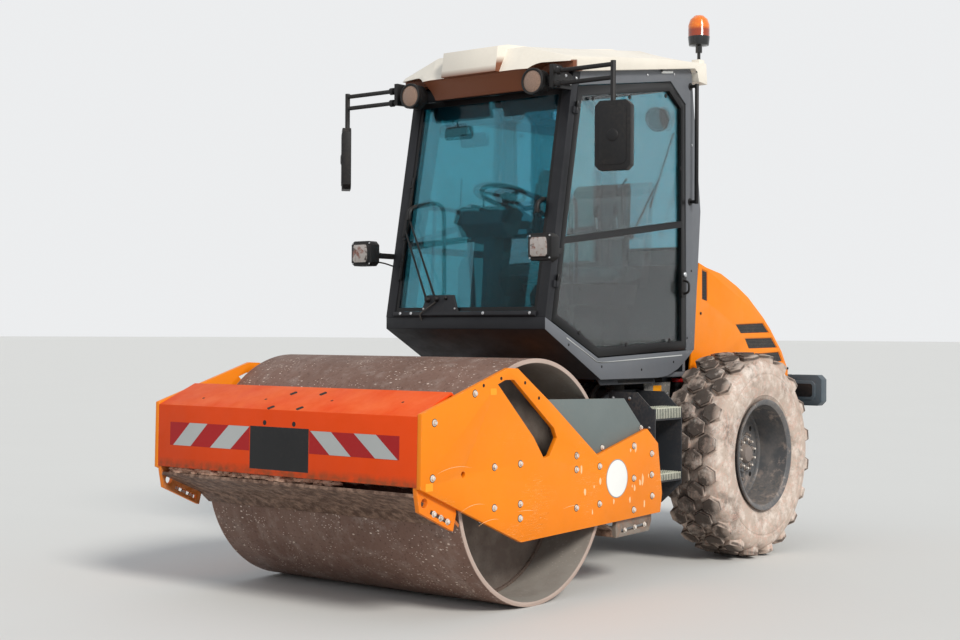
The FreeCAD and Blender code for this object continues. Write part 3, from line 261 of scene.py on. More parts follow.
def make_materials():
    made = {}
    orange = painted("orange_paint", (242, 132, 0), 0.5, 0.08, dust=0.08, wear=0.6)
    low = orange.band(orange.along("Z"), 0.95, 0.55)
    scratches(orange, (255, 205, 150), 0.6, low)
    scratches(orange, (120, 70, 30), 0.5, low, stretch=(5, 5, 70), scale=1.6)
    made["orange"] = orange
    beam = painted("red_orange_paint", (226, 70, 0), 0.62, 0.0, dust=0.0, wear=0.4, worn=(225, 150, 110))
    # Top faces paler in patches: painted sunlight on the beam's top, with some dust.
    upper = beam.band(beam.facing("Z"), 0.4, 0.9)
    beam.over(beam.both(upper, beam.band(beam.noise(5, 6, 0.65), 0.25, 0.7)), (232, 104, 48))
    beam.over(beam.both(beam.band(beam.along("Z"), 0.69, 0.655), beam.band(beam.noise(18, 5), 0.3, 0.6)), (150, 70, 34))
    scratches(beam, (225, 150, 110), 0.3, upper, stretch=(50, 3, 3))
    made["red_orange"] = beam
    made["hood_orange"] = painted("hood_paint", (246, 136, 0), 0.46, 0.08, dust=0.05, wear=0.2)
    made["frame_grey"] = cab_paint("frame_paint", lambda paint: frame_front(paint))
    made["grey"] = cab_paint("tub_paint", lambda paint: tub_dark(paint))
    made["anthracite"] = painted("anthracite", (33, 34, 38), 0.5, 0.05, dust=0.1, worn=(110, 108, 105))
    made["housing_grey"] = painted("housing_grey", (74, 86, 94), 0.5, 0.1, dust=0.25, worn=(130, 128, 125))
    made["chassis"] = painted("chassis_paint", (50, 53, 58), 0.6, 0.0, dust=0.45, worn=(130, 120, 110))
    made["scraper"] = scraper_finish()
    made["panel_grey"] = painted("panel_grey", (104, 113, 112), 0.5, 0.05, dust=0.18, worn=(190, 160, 110))
    roof = painted("roof_white", (236, 228, 214), 0.5, 0.1, dust=0.1, wear=0.1)
    brown = roof.both(roof.band(roof.along("Z"), 2.7355, 2.7345), roof.band(roof.along("X"), 0.55, 0.56))
    arch = roof.both(roof.band(roof.facing("Z"), 0.05, -0.05), roof.band(roof.along("X"), 0.60, 0.61))
    made["roof_white"] = roof.over(roof.either(brown, arch), (126, 76, 52))
    black = Finish("black_plastic", (15, 15, 17), 0.5, specular=0.35)
    made["black"] = black.dusty(0.12).grainy()
    rubber = Finish("black_rubber", (17, 17, 18), 0.8, specular=0.3)
    made["rubber"] = rubber.dusty(0.3).grainy(180, 0.0006)
    steel = Finish("bright_steel", (196, 198, 200), 0.35, metallic=0.9)
    steel.over(steel.band(steel.noise(90, 4, 0.6), 0.55, 0.75), (120, 96, 76))
    made["steel"] = steel
    made["drum"] = drum_finish()
    inner = Finish("drum_inside", (112, 100, 92), 0.75, metallic=0.2)
    inner.over(inner.both(inner.band(inner.noise(5, 6, 0.65), 0.4, 0.7), 0.7), (160, 150, 140))
    inner.over(inner.both(inner.band(inner.noise(40, 4, 0.6), 0.6, 0.75), 0.6), (84, 62, 50))
    made["drum_inside"] = inner.grainy(90, 0.001)
    made["tyre"] = tyre_finish()
    rim = painted("rim_paint", (88, 89, 91), 0.36, 0.2, dust=0.8, worn=(150, 140, 130))
    rust = rim.both(rim.band(rim.noise(16, 6, 0.7), 0.52, 0.64), rim.band(rim.noise(4, 3), 0.4, 0.6))
    rim.over(rust, (152, 138, 129))
    made["rim"] = rim.over(rim.both(rim.band(rim.noise(7, 5, 0.6), 0.5, 0.7), 0.6), (128, 122, 118))
    tread = Finish("step_tread", (196, 196, 178), 0.6, metallic=0.2)
    tread.over(tread.band(tread.noise(30, 5, 0.7), 0.5, 0.7), (140, 150, 136))
    made["tread"] = tread.grainy(120, 0.001)
    for name, colour in (("glass", (30, 150, 180)), ("side_glass", (70, 150, 156))):
        glass = Finish(name, colour, 0.0)
        glass.shader.inputs["Transmission Weight"].default_value = 1.0
        glass.shader.inputs["IOR"].default_value = 1.3
        glass.shader.inputs["Alpha"].default_value = 0.62 if name == "glass" else 0.58
        made[name] = glass.rough(glass.band(glass.noise(2.2, 5, 0.6), 0.4, 0.8), 0.02)
    made["border"] = Finish("glass_border", (9, 9, 11), 0.35, specular=0.3).dusty(0.03)
    # Near black for holes, slots and the rings round bolts: painted shade and painted shadow.
    made["dark"] = Finish("painted_shade_dark", (10, 9, 9), 0.9).dusty(0.1)
    made["dirt"] = dirt_finish()
    amber = Finish("amber_dome", (232, 112, 4), 0.15, coat=0.5)
    amber.over(amber.both(amber.band(amber.cells(60), 0.5, 0.1), 0.5), (252, 158, 30))
    amber.over(amber.band(amber.along("Z"), 3.172, 3.150), (150, 52, 6))
    amber.over(amber.band(amber.along("Z"), 3.1125, 3.1118), (14, 14, 15))
    made["amber"] = amber
    lens = Finish("lamp_lens", (150, 120, 100), 0.25, coat=0.5)
    lens.over(lens.both(lens.band(lens.noise(220, 3), 0.4, 0.6), 0.6), (112, 84, 68))
    silver = Finish("reflector", (176, 168, 162), 0.22, metallic=0.5, coat=0.5)
    silver.over(silver.band(silver.noise(26, 4, 0.6), 0.5, 0.62), (128, 84, 70))
    made["reflector"] = silver.over(silver.band(silver.noise(17, 4, 0.6), 0.56, 0.64), (64, 54, 50))
    made["lens"] = lens
    made["red"] = painted("red_sheet", (164, 4, 6), 0.4, 0.1, dust=0.05, wear=0.1)
    made["silver"] = painted("silver_sheet", (176, 178, 176), 0.4, 0.1, dust=0.1, wear=0.1)
    made["white"] = painted("white_disc", (238, 238, 234), 0.4, 0.2, dust=0.05, wear=0.1)
    made["plate_black"] = painted("blank_plate", (17, 17, 19), 0.4, 0.1, dust=0.08, wear=0.2)
    made["label"] = painted("label_yellow", (244, 160, 28), 0.45, 0.1, dust=0.05, wear=0.1)
    made["counterweight"] = painted("weight_paint", (50, 54, 60), 0.5, 0.1, dust=0.25)
    made["fabric"] = fabric_finish()
    made["hose"] = Finish("hose", (62, 60, 58), 0.7).dusty(0.6).grainy(300, 0.0006)
    bolt = Finish("bolt_steel", (222, 214, 204), 0.4, metallic=0.35)
    made["bolt"] = bolt.over(bolt.band(bolt.noise(60, 4, 0.6), 0.52, 0.7), (150, 128, 108)).dusty(0.2)
    made["scuff"] = painted("scuffed_primer", (242, 196, 146), 0.8, 0.0, dust=0.3, wear=0.0)
    made["console"] = painted("console_plastic", (86, 90, 88), 0.6, 0.0, dust=0.15, wear=0.1)
    made["ring_grey"] = painted("disc_ring", (150, 152, 152), 0.5, 0.1, dust=0.1, wear=0.2)
    made["soil"] = made["dirt"]
    weld = Finish("weld_seam", (120, 104, 94), 0.6, metallic=0.3)
    made["weld"] = weld.over(weld.band(weld.noise(70, 4, 0.6), 0.5, 0.7), (76, 62, 54)).grainy(150, 0.0015, 0.6)
    made["rim_dusty"] = painted("rim_dusty", (128, 118, 112), 0.6, 0.0, dust=0.9, worn=(190, 170, 160))
    made["pale_strip"] = painted("pale_sill_strip", (188, 190, 188), 0.55, 0.0, dust=0.15, wear=0.1)
    mirror = Finish("mirror_glass", (210, 214, 218), 0.03, metallic=1.0)
    made["mirror"] = mirror.rough(mirror.band(mirror.noise(8, 4), 0.5, 0.8), 0.12)
    made["mesh_black"] = perforated_finish()
    speckled = Finish("speckled_plate", (112, 110, 106), 0.8)
    speckled.over(speckled.band(speckled.cells(170), 0.3, 0.15), (60, 58, 56))
    made["speckled"] = speckled.over(speckled.band(speckled.noise(90, 4), 0.55, 0.7), (170, 160, 146))
    for name, colour in (("red_lens", (176, 16, 14)), ("amber_lens", (236, 120, 16)), ("clear_lens", (214, 214, 210))):
        cover = Finish(name, colour, 0.12, coat=0.6)
        ribs = cover.math("SINE", cover.both(cover.along("Y"), 900.0))
        made[name] = cover.raised(ribs, 0.0008, 0.6).dusty(0.15)
    made["lining"] = painted("cab_lining", (70, 72, 74), 0.9, 0.0, dust=0.1, wear=0.0)
    return {key: finish.material for key, finish in made.items()}


def cab_paint(name, mask):
    """Cab grey, scratched at the rear, with a darker finish where the mask says."""
    grey = painted(name, (104, 107, 112), 0.5, 0.08, dust=0.15, worn=(170, 170, 168))
    rear = grey.both(grey.band(grey.along("X"), -0.25, -0.45), grey.band(grey.along("Z"), 1.5, 1.2))
    scratches(grey, (196, 194, 190), 0.9, rear, stretch=(14, 14, 10), scale=3.0)
    return grey.over(mask(grey), (30, 31, 35))


def frame_front(paint):
    """1 on the cab's front posts, which follow the windscreen's lean."""
    place = paint.math("ADD", paint.along("X"), paint.both(paint.math("SUBTRACT", paint.along("Z"), 1.409), 0.185))
    return paint.band(place, 0.764, 0.766)


def tub_dark(paint):
    """1 on the faces that don't look sideways, which get the dark grey."""
    return paint.band(paint.math("ABSOLUTE", paint.facing("Y")), 0.5, 0.3)


def scraper_finish():
    """Orange brackets on a dirty bar in front; everything dusty grey behind the drum."""
    bar = painted("scraper_paint", (240, 126, 6), 0.5, 0.05, dust=0.2)
    inside = bar.band(bar.math("ABSOLUTE", bar.along("Y")), PLATE_Y - 0.046, PLATE_Y - 0.052)
    behind = bar.band(bar.along("X"), DRUM_X + 0.02, DRUM_X - 0.02)
    soiled = bar.blend(bar.band(bar.noise(24, 6, 0.7), 0.42, 0.66), linear(84, 62, 50), linear(150, 122, 104))
    bar.over(behind, (128, 118, 108))
    bar.over(bar.either(inside, bar.both(behind, bar.band(bar.noise(12, 5, 0.7), 0.45, 0.6))), soiled)
    return bar.raised(bar.both(bar.noise(60, 5, 0.7), inside), 0.004, 0.8)


def drum_finish():
    """Rolled steel: brown rust, grey polish in bands round the drum, pale grit and dark pits."""
    drum = Finish("drum_steel", (126, 98, 86), 0.66, metallic=0.1, specular=0.35)
    around = drum.stretched(1, 6, 1)
    drum.over(drum.both(drum.band(drum.noise(2.6, 6, 0.65), 0.35, 0.7), 0.6), (96, 70, 58))
    drum.over(drum.both(drum.band(drum.noise(1.3, 5, 0.6, around), 0.5, 0.7), 0.4), (146, 124, 112))
    drum.over(drum.both(drum.band(drum.noise(11, 6, 0.7), 0.5, 0.68), 0.55), (156, 138, 128))
    drum.over(drum.both(drum.band(drum.noise(60, 5, 0.7), 0.56, 0.68), 0.75), (66, 46, 38))
    for size, limit, patch in ((38, 0.19, 4), (80, 0.22, 9)):
        grit = drum.band(drum.cells(size, drum.stretched(1, 0.55, 1)), limit, limit * 0.6)
        drum.over(drum.both(grit, drum.band(drum.noise(patch, 3, 0.6), 0.47, 0.56)), (214, 196, 182))
    across = drum.math("SUBTRACT", drum.along("X"), DRUM_X)
    above = drum.math("SUBTRACT", drum.along("Z"), DRUM_RADIUS)
    reach = drum.math("SQRT", drum.math("ADD", drum.both(across, across), drum.both(above, above)))
    # Paler grey on the shell's inner face: the steel's own grey with painted sunlight over it.
    inside = drum.band(reach, DRUM_RADIUS - 0.010, DRUM_RADIUS - 0.015)
    drum.over(drum.both(inside, 0.85), (150, 146, 138))
    drum.over(drum.both(drum.both(inside, drum.band(drum.noise(3, 5, 0.6), 0.45, 0.65)), 0.55), (112, 100, 92))
    rim = drum.band(drum.math("ABSOLUTE", drum.along("Y")), DRUM_HALF - 0.006, DRUM_HALF - 0.001)
    drum.over(drum.both(rim, 0.8), (190, 170, 158))
    drum.rough(drum.band(drum.noise(14, 4, 0.6), 0.4, 0.7), 0.8)
    drum.raised(drum.noise(160, 5, 0.65), 0.0012, 0.5)
    return drum


def tyre_finish():
    """Dried mud over black rubber, pale on the wall; painted shade low on the lugs' sides and between them; dark lug
    faces, partly rubbed clean and partly painted shade.
    """
    tyre = Finish("tyre_rubber", (78, 70, 66), 0.9, specular=0.2)
    across = tyre.math("SUBTRACT", tyre.along("X"), AXLE_X)
    above = tyre.math("SUBTRACT", tyre.along("Z"), AXLE_Z)
    reach = tyre.math("SQRT", tyre.math("ADD", tyre.both(across, across), tyre.both(above, above)))
    mud = tyre.band(tyre.noise(4.5, 6, 0.65), 0.25, 0.5)
    tyre.over(tyre.both(mud, 0.92), (194, 176, 162))
    tyre.over(tyre.both(tyre.band(tyre.noise(14, 6, 0.7), 0.46, 0.66), 0.8), (226, 213, 202))
    swirl = tyre.noise(5, 4, 0.6, tyre.stretched(1, 4, 1), 2.5)
    swirl = tyre.band(tyre.math("ABSOLUTE", tyre.math("SUBTRACT", swirl, 0.5)), 0.03, 0.005)
    tyre.over(tyre.both(swirl, 0.5), (206, 166, 150))
    tyre.over(tyre.both(tyre.band(tyre.noise(70, 4, 0.7), 0.6, 0.72), 0.5), (96, 82, 74))
    # Dark lug faces: rubber rubbed clean, with painted shade on the lugs.
    worn = tyre.both(tyre.band(reach, 0.594, 0.600), tyre.band(tyre.noise(9, 6, 0.7), 0.34, 0.5))
    tyre.over(tyre.both(worn, 0.88), (50, 44, 41))
    # Painted shade low between the lugs, where their sides meet the carcass.
    painted_groove_shade = tyre.both(tyre.band(reach, 0.596, 0.588), tyre.band(reach, 0.570, 0.578))
    tyre.over(tyre.both(painted_groove_shade, tyre.both(tyre.band(tyre.noise(12, 5), 0.36, 0.52), 0.85)), (66, 58, 54))
    tyre.raised(tyre.noise(85, 5, 0.7), 0.002, 0.6)
    return tyre


def dirt_finish():
    dirt = Finish("dry_dirt", (176, 138, 116), 0.95, specular=0.2)
    dirt.over(dirt.band(dirt.noise(28, 6, 0.7), 0.45, 0.65), (206, 170, 148))
    dirt.over(dirt.band(dirt.noise(9, 4, 0.6), 0.55, 0.7), (120, 88, 72))
    return dirt.raised(dirt.noise(70, 6, 0.7), 0.004, 0.9)


def perforated_finish():
    """Black sheet with a pattern of small round holes."""
    sheet = Finish("perforated_sheet", (34, 34, 35), 0.5)
    width = 0.011
    u = sheet.math("DIVIDE", sheet.along("X"), width)
    v = sheet.math("DIVIDE", sheet.along("Z"), width * 0.866)
    row = sheet.math("FLOOR", v)
    u = sheet.math("ADD", u, sheet.both(row, 0.5))
    u = sheet.math("SUBTRACT", sheet.math("FRACT", u), 0.5)
    v = sheet.math("SUBTRACT", sheet.math("FRACT", v), 0.5)
    away = sheet.math("SQRT", sheet.math("ADD", sheet.both(u, u), sheet.both(v, v)))
    hole = sheet.band(away, 0.36, 0.30)
    sheet.dusty(0.5)
    # The holes are painted near black: painted shade behind the sheet.
    sheet.over(hole, (5, 5, 5)).rough(hole, 0.95)
    return sheet.raised(sheet.math("SUBTRACT", 1.0, hole), 0.002, 0.8)


def fabric_finish():
    """Woven seat cloth."""
    cloth = Finish("seat_cloth", (84, 88, 92), 0.9)
    weave = cloth.math("SINE", cloth.both(cloth.along("Y"), 1600.0))
    cross = cloth.math("SINE", cloth.both(cloth.along("Z"), 1600.0))
    cloth.raised(cloth.both(weave, cross), 0.0006, 0.5)
    return cloth.over(cloth.both(cloth.band(cloth.noise(6, 4), 0.4, 0.7), 0.4), (112, 114, 118))


MATERIALS = make_materials()


# Node modifiers for carried-over pieces: weld, soften the edges, shade by angle

def make_shading_group(angle):
    group = bpy.data.node_groups.new("shade_by_angle", "GeometryNodeTree")
    group.interface.new_socket("Geometry", in_out="INPUT", socket_type="NodeSocketGeometry")
    group.interface.new_socket("Geometry", in_out="OUTPUT", socket_type="NodeSocketGeometry")
    source = group.nodes.new("NodeGroupInput")
    target = group.nodes.new("NodeGroupOutput")
    faces = group.nodes.new("GeometryNodeSetShadeSmooth")
    faces.domain = "FACE"
    edges = group.nodes.new("GeometryNodeSetShadeSmooth")
    edges.domain = "EDGE"
    edges.inputs["Shade Smooth"].default_value = False
    measure = group.nodes.new("GeometryNodeInputMeshEdgeAngle")
    compare = group.nodes.new("FunctionNodeCompare")
    compare.operation = "GREATER_THAN"
    compare.inputs[1].default_value = angle
    links = group.links
    links.new(measure.outputs["Unsigned Angle"], compare.inputs[0])
    links.new(source.outputs[0], faces.inputs["Geometry"])
    links.new(faces.outputs[0], edges.inputs["Geometry"])
    links.new(compare.outputs[0], edges.inputs["Selection"])
    links.new(edges.outputs[0], target.inputs[0])
    return group


SHADING = make_shading_group(math.radians(32))


def soften(thing, width, segments=2):
    """Round a piece's sharp edges and shade the rest smooth."""
    weld = thing.modifiers.new("weld", "WELD")
    weld.merge_threshold = 0.00005
    flat = thing.modifiers.new("flat", "DECIMATE")
    flat.decimate_type = "DISSOLVE"
    flat.angle_limit = math.radians(0.5)
    if width:
        bevel = thing.modifiers.new("bevel", "BEVEL")
        bevel.width = width
        bevel.segments = segments
        bevel.limit_method = "ANGLE"
        bevel.angle_limit = math.radians(40)
        bevel.use_clamp_overlap = True
    shade = thing.modifiers.new("shade", "NODES")
    shade.node_group = SHADING


def dress(node, key, width=0.003, segments=2):
    """Give a carried-over node its material and softened edges."""
    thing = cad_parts[node]
    thing.data.materials.clear()
    thing.data.materials.append(MATERIALS[key])
    normals = thing.data.attributes.get("custom_normal")
    if normals:
        thing.data.attributes.remove(normals)
    soften(thing, width, segments)


CARRIED = [
    # node, material, edge radius
    ("side_plate_left", "orange", 0.004),
    ("side_plate_right", "orange", 0.004),
    ("notch_covers", "panel_grey", 0.002),
    ("front_beam", "red_orange", 0.010),
    ("rear_crossbeam", "orange", 0.004),
    ("drum_carriers", "chassis", 0.003),
    ("rubber_buffers", "rubber", 0.006),
    ("scrapers", "scraper", 0.002),
    ("drum_shell", "drum", 0.002),
    ("drum_heads", "drum_inside", 0.002),
    ("pivot_block", "chassis", 0.003),
    ("steering_fork", "chassis", 0.003),
    ("steering_pin", "steel", 0.002),
    ("rear_chassis", "chassis", 0.003),
    ("rear_axle", "chassis", 0.004),
    ("engine_block", "chassis", 0.01),
    ("counterweight", "counterweight", 0.02),
    ("rear_lamp_housings", "housing_grey", 0.012),
    ("steps", "chassis", 0.002),
    ("cab_mounts", "rubber", 0.003),
    ("cab_tub", "grey", 0.004),
    ("cab_frame", "frame_grey", 0.004),
    ("cab_cowl", "anthracite", 0.004),
    ("windscreen", "glass", 0),
    ("rear_window", "glass", 0),
    ("cab_roof", "roof_white", 0.03),
    ("roof_lamps", "black", 0.004),
    ("beacon", "amber", 0.004),
    ("headlamps", "black", 0.006),
    ("mirrors", "black", 0.006),
    ("grab_handles", "black", 0.002),
    ("seat", "fabric", 0.03),
    ("steering_console", "console", 0.02),
    ("steering_wheel", "black", 0.002),
    ("door_left", "border", 0.003),
    ("door_right", "border", 0.003),
    ("door_glass_left", "side_glass", 0),
    ("door_glass_right", "side_glass", 0),
    ("rim_left", "rim", 0.002),
    ("rim_right", "rim", 0.002),
    ("tyre_left", "tyre", 0.01),
    ("tyre_right", "tyre", 0.01),
    ("hood", "hood_orange", 0.02),
    ("cylinder_barrel", "chassis", 0.003),
    ("cylinder_rod", "steel", 0.001),
]

for node, key, width in CARRIED:
    dress(node, key, width)


# Building pieces from simple forms

UNIT = {"X": Vector((1, 0, 0)), "Y": Vector((0, 1, 0)), "Z": Vector((0, 0, 1))}
TURNS = {
    "X": lambda u, v, w: (w, u, v),
    "Y": lambda u, v, w: (u, w, v),
    "Z": lambda u, v, w: (u, v, w),
}


class Build:
    """Collects simple forms into one piece. Each form has its own material."""

    def __init__(self):
        self.mesh = bmesh.new()
        self.keys = []

    def form(self, points, faces, key):
        if key not in self.keys:
            self.keys.append(key)
        vertices = [self.mesh.verts.new(Vector(point)) for point in points]
        for corners in faces:
            face = self.mesh.faces.new([vertices[index] for index in corners])
            face.material_index = self.keys.index(key)

    def extruded(self, near, far, key):
        """A closed form between two outlines with as many corners."""
        count = len(near)
        faces = [tuple(range(count)), tuple(range(2 * count - 1, count - 1, -1))]
        for index in range(count):
            after = (index + 1) % count
            faces.append((index, after, count + after, count + index))
        self.form(list(near) + list(far), faces, key)

    def prism(self, axis, outline, low, high, key):
        turn = TURNS[axis]
        self.extruded([turn(u, v, low) for u, v in outline], [turn(u, v, high) for u, v in outline], key)

    def block(self, low, high, key):
        corners = [(low[0], low[1]), (high[0], low[1]), (high[0], high[1]), (low[0], high[1])]
        self.prism("Z", corners, low[2], high[2], key)

    def slab(self, corners, offset, key):
        """A flat outline in space, thickened along a vector."""
        near = [Vector(corner) for corner in corners]
        self.extruded(near, [corner + Vector(offset) for corner in near], key)

    def turned(self, direction, centre, profile, key, count=40, start=0.0):
        """Points of (along, radius), turned about a line; a profile off the line closes on itself."""
        direction = Vector(direction).normalized()
        sideways = direction.orthogonal().normalized()
        upward = direction.cross(sideways)
        centre = Vector(centre)
        points = []
        rings = []
        for along, radius in profile:
            middle = centre + direction * along
            if radius < 1e-6:
                rings.append([len(points)] * count)
                points.append(middle)
                continue
            rings.append([len(points) + step for step in range(count)])
            for step in range(count):
                turn = start + 2 * math.pi * step / count
                points.append(middle + (sideways * math.cos(turn) + upward * math.sin(turn)) * radius)
        open_ends = profile[0][1] < 1e-6 and profile[-1][1] < 1e-6
        pairs = list(zip(rings, rings[1:] + ([] if open_ends else [rings[0]])))
        faces = []
        for near, far in pairs:
            for step in range(count):
                after = (step + 1) % count
                corners = []
                for index in (near[step], near[after], far[after], far[step]):
                    if index not in corners:
                        corners.append(index)
                if len(corners) > 2:
                    faces.append(tuple(corners))
        self.form(points, faces, key)

    def tube(self, path, radius, key, count=10):
        """A round bar along a path of points."""
        path = [Vector(point) for point in path]
        last = len(path) - 1
        points = []
        side = None
        for index, point in enumerate(path):
            direction = (path[min(index + 1, last)] - path[max(index - 1, 0)]).normalized()
            side = direction.orthogonal() if side is None else side - direction * side.dot(direction)
            side.normalize()
            up = direction.cross(side)
            for step in range(count):
                turn = 2 * math.pi * step / count
                points.append(point + (side * math.cos(turn) + up * math.sin(turn)) * radius)
        faces = [tuple(range(count - 1, -1, -1)), tuple(range(last * count, (last + 1) * count))]
        for ring in range(last):
            for step in range(count):
                after = (step + 1) % count
                low = ring * count
                faces.append((low + step, low + after, low + count + after, low + count + step))
        self.form(points, faces, key)

    def bolt(self, centre, direction, size, key="bolt"):
        """A hexagon head on a washer, with a dark ring round it: painted shadow at the joint."""
        self.turned(direction, centre, [(-size * 0.1, 0), (-size * 0.1, size * 1.4), (0.0005, size * 1.4),
                                        (0.0005, 0)], "dark", 18)
        self.turned(direction, centre, [(-size * 0.2, 0), (-size * 0.2, size * 1.15), (size * 0.16, size * 1.15),
                                        (size * 0.16, 0)], key, 18)
        self.turned(direction, centre, [(size * 0.16, 0), (size * 0.16, size * 0.82), (size * 0.72, size * 0.82),
                                        (size * 0.82, size * 0.6), (size * 0.82, 0)], key, 6)

    def socket_screw(self, centre, direction, size, key="bolt"):
        self.turned(direction, centre, [(-size * 0.3, 0), (-size * 0.3, size), (size * 0.35, size),
                                        (size * 0.6, size * 0.6), (size * 0.6, 0)], key, 14)

    def piece(self, name, body, width=0.001, segments=2, replaces=()):
        bmesh.ops.recalc_face_normals(self.mesh, faces=self.mesh.faces)
        data = bpy.data.meshes.new(name)
        self.mesh.to_mesh(data)
        self.mesh.free()
        for key in self.keys:
            data.materials.append(MATERIALS[key])
        thing = bpy.data.objects.new(name, data)
        bpy.context.scene.collection.objects.link(thing)
        soften(thing, width, segments)
        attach(thing, body)
        for node in replaces:
            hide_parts(node)
        return thing


def arc(points, radius=0.05, steps=5):
    """A path with its inner corners rounded."""
    points = [Vector(point) for point in points]
    path = [points[0]]
    for before, here, after in zip(points, points[1:], points[2:]):
        first = here + (before - here).normalized() * min(radius, (before - here).length / 2)
        last = here + (after - here).normalized() * min(radius, (after - here).length / 2)
        for step in range(steps + 1):
            share = step / steps
            path.append(first.lerp(here, share).lerp(here.lerp(last, share), share))
    path.append(points[-1])
    return path


def clipped(width, height, corner):
    u, v = width / 2, height / 2
    return [(u - corner, -v), (u, corner - v), (u, v - corner), (u - corner, v), (corner - u, v),
            (-u, v - corner), (-u, corner - v), (corner - u, -v)]


def rounded(width, height, corner, steps=4):
    """A rectangle about its centre, with round corners."""
    outline = []
    for u, v, begin in ((1, 1, 0), (-1, 1, 90), (-1, -1, 180), (1, -1, 270)):
        for step in range(steps + 1):
            turn = math.radians(begin + 90 * step / steps)
            outline.append((u * (width / 2 - corner) + math.cos(turn) * corner,
                            v * (height / 2 - corner) + math.sin(turn) * corner))
    return outline


def at(points, u, v):
    return [(first + u, second + v) for first, second in points]


# Side plates: bolts, a bare disc, bare labels, and dark discs at the holes, painted shade

PLATE_BOLTS = [
    (0.823, 0.923), (0.835, 0.678), (0.538, 1.045), (0.390, 0.700), (0.390, 0.511), (0.190, 0.703),
    (0.190, 0.513), (0.190, 0.445), (-0.275, 0.715), (-0.275, 0.646), (-0.275, 0.455), (-0.480, 0.649),
    (-0.480, 0.458), (-0.800, 0.736), (-0.800, 0.566), (-0.800, 0.401), (-0.975, 0.685), (-0.975, 0.573),
    (-0.980, 0.460),
]
COVER_BOLTS = [(-0.108, 0.940), (-0.538, 0.740), (-0.905, 0.825)]
SMALL_HOLES = [(0.474, 1.080), (0.342, 1.110), (0.156, 1.086), (0.044, 1.010)]
DISC_PLACE = (-0.640, 0.576)


def make_side_plate_details():
    for name, side in SIDES:
        face = PLATE_Y * side
        outward = (0, side, 0)
        bolts = Build()
        for x, z in PLATE_BOLTS:
            bolts.bolt((DRUM_X + x, face, z), outward, 0.0135)
        for x, z in COVER_BOLTS:
            bolts.bolt((DRUM_X + x, face - 0.025 * side, z), outward, 0.012)
        bolts.piece("plate_bolts_" + name, "front_frame")
        marks = Build()
        # Dark discs where the plate has small holes: painted shade in the holes.
        for x, z in SMALL_HOLES:
            marks.turned(outward, (DRUM_X + x, face, z), [(-0.001, 0), (-0.001, 0.0085), (0.0005, 0.0085),
                                                          (0.0005, 0)], "dark", 16)
        x, z = DISC_PLACE
        marks.turned(outward, (DRUM_X + x, face, z), [(-0.001, 0), (-0.001, 0.100), (0.0008, 0.100), (0.0008, 0)],
                     "ring_grey", 56)
        marks.turned(outward, (DRUM_X + x, face, z), [(-0.001, 0), (-0.001, 0.095), (0.0013, 0.095), (0.0013, 0)],
                     "white", 56)
        low, high = sorted((face - 0.001 * side, face + 0.001 * side))
        marks.prism("Y", at(rounded(0.045, 0.03, 0.004), DRUM_X + 0.400, 1.050), low, high, "label")
        marks.prism("Y", at(rounded(0.05, 0.035, 0.004), DRUM_X + 0.858, 0.640), low, high, "label")
        picker = random.Random(11)
        for number in range(17):
            x = DRUM_X + picker.choice((picker.uniform(-0.98, -0.62), picker.uniform(-0.98, -0.10)))
            z = picker.uniform(0.42, 0.76)
            wide = picker.uniform(0.005, 0.011)
            tall = wide * picker.uniform(1.5, 3.2)
            outline = []
            for step in range(9):
                turn = 2 * math.pi * step / 9
                rough = picker.uniform(0.75, 1.15)
                outline.append((x + math.cos(turn) * wide * rough, z + math.sin(turn) * tall * rough))
            marks.prism("Y", outline, *sorted((face - 0.001 * side, face + 0.0004 * side)), "scuff")
        for x, z, reach, begin, end in ((0.66, 0.30, 0.42, 70, 104), (0.52, 0.30, 0.24, 62, 104), (0.40, 0.20, 0.26, 66, 100),
                                        (-0.25, 0.10, 0.37, 76, 100), (0.16, 0.10, 0.38, 82, 104)):
            outline = []
            for step in range(13):
                turn = math.radians(begin + (end - begin) * step / 12)
                outline.append((DRUM_X + x + math.cos(turn) * reach, z + math.sin(turn) * reach))
            for step in range(12, -1, -1):
                turn = math.radians(begin + (end - begin) * step / 12)
                thin = reach - 0.0016 * math.sin(math.pi * step / 12) - 0.0002
                outline.append((DRUM_X + x + math.cos(turn) * thin, z + math.sin(turn) * thin))
            marks.prism("Y", outline, *sorted((face - 0.001 * side, face + 0.0003 * side)), "scuff")
        marks.piece("plate_marks_" + name, "front_frame", 0)


make_side_plate_details()


# Front beam: hazard sheets, a bare black plate, holes drawn as dark patches of painted shade, and knobs

BEAM_FACE_LOW = (DRUM_X + 0.916, 0.640)
BEAM_FACE_HIGH = (DRUM_X + 0.911, 0.953)
BEAM_TOP_REAR = (DRUM_X + 0.674, 1.055)
# Sheets: lowest and highest Y, lowest and highest Z, stripes as (Y at the foot, width, lean)
HAZARD_SHEETS = [
    (-0.772, -0.196, 0.752, 0.867, [(-0.748, 0.130, 0.122), (-0.474, 0.146, 0.132)]),
    (0.206, 0.763, 0.757, 0.863, [(0.338, 0.133, -0.126), (0.620, 0.135, -0.132)]),
]


def beam_face(y, z, proud):
    """A point on the beam's front, or in front of it."""
    share = (z - BEAM_FACE_LOW[1]) / (BEAM_FACE_HIGH[1] - BEAM_FACE_LOW[1])
    return Vector((BEAM_FACE_LOW[0] + (BEAM_FACE_HIGH[0] - BEAM_FACE_LOW[0]) * share + proud, y, z))


def beam_top(x, y, proud):
    rise = (BEAM_TOP_REAR[1] - BEAM_FACE_HIGH[1]) / (BEAM_FACE_HIGH[0] - BEAM_TOP_REAR[0])
    outward = Vector((rise, 0, 1)).normalized()
    return Vector((x, y, BEAM_FACE_HIGH[1] + (BEAM_FACE_HIGH[0] - x) * rise)) + outward * proud


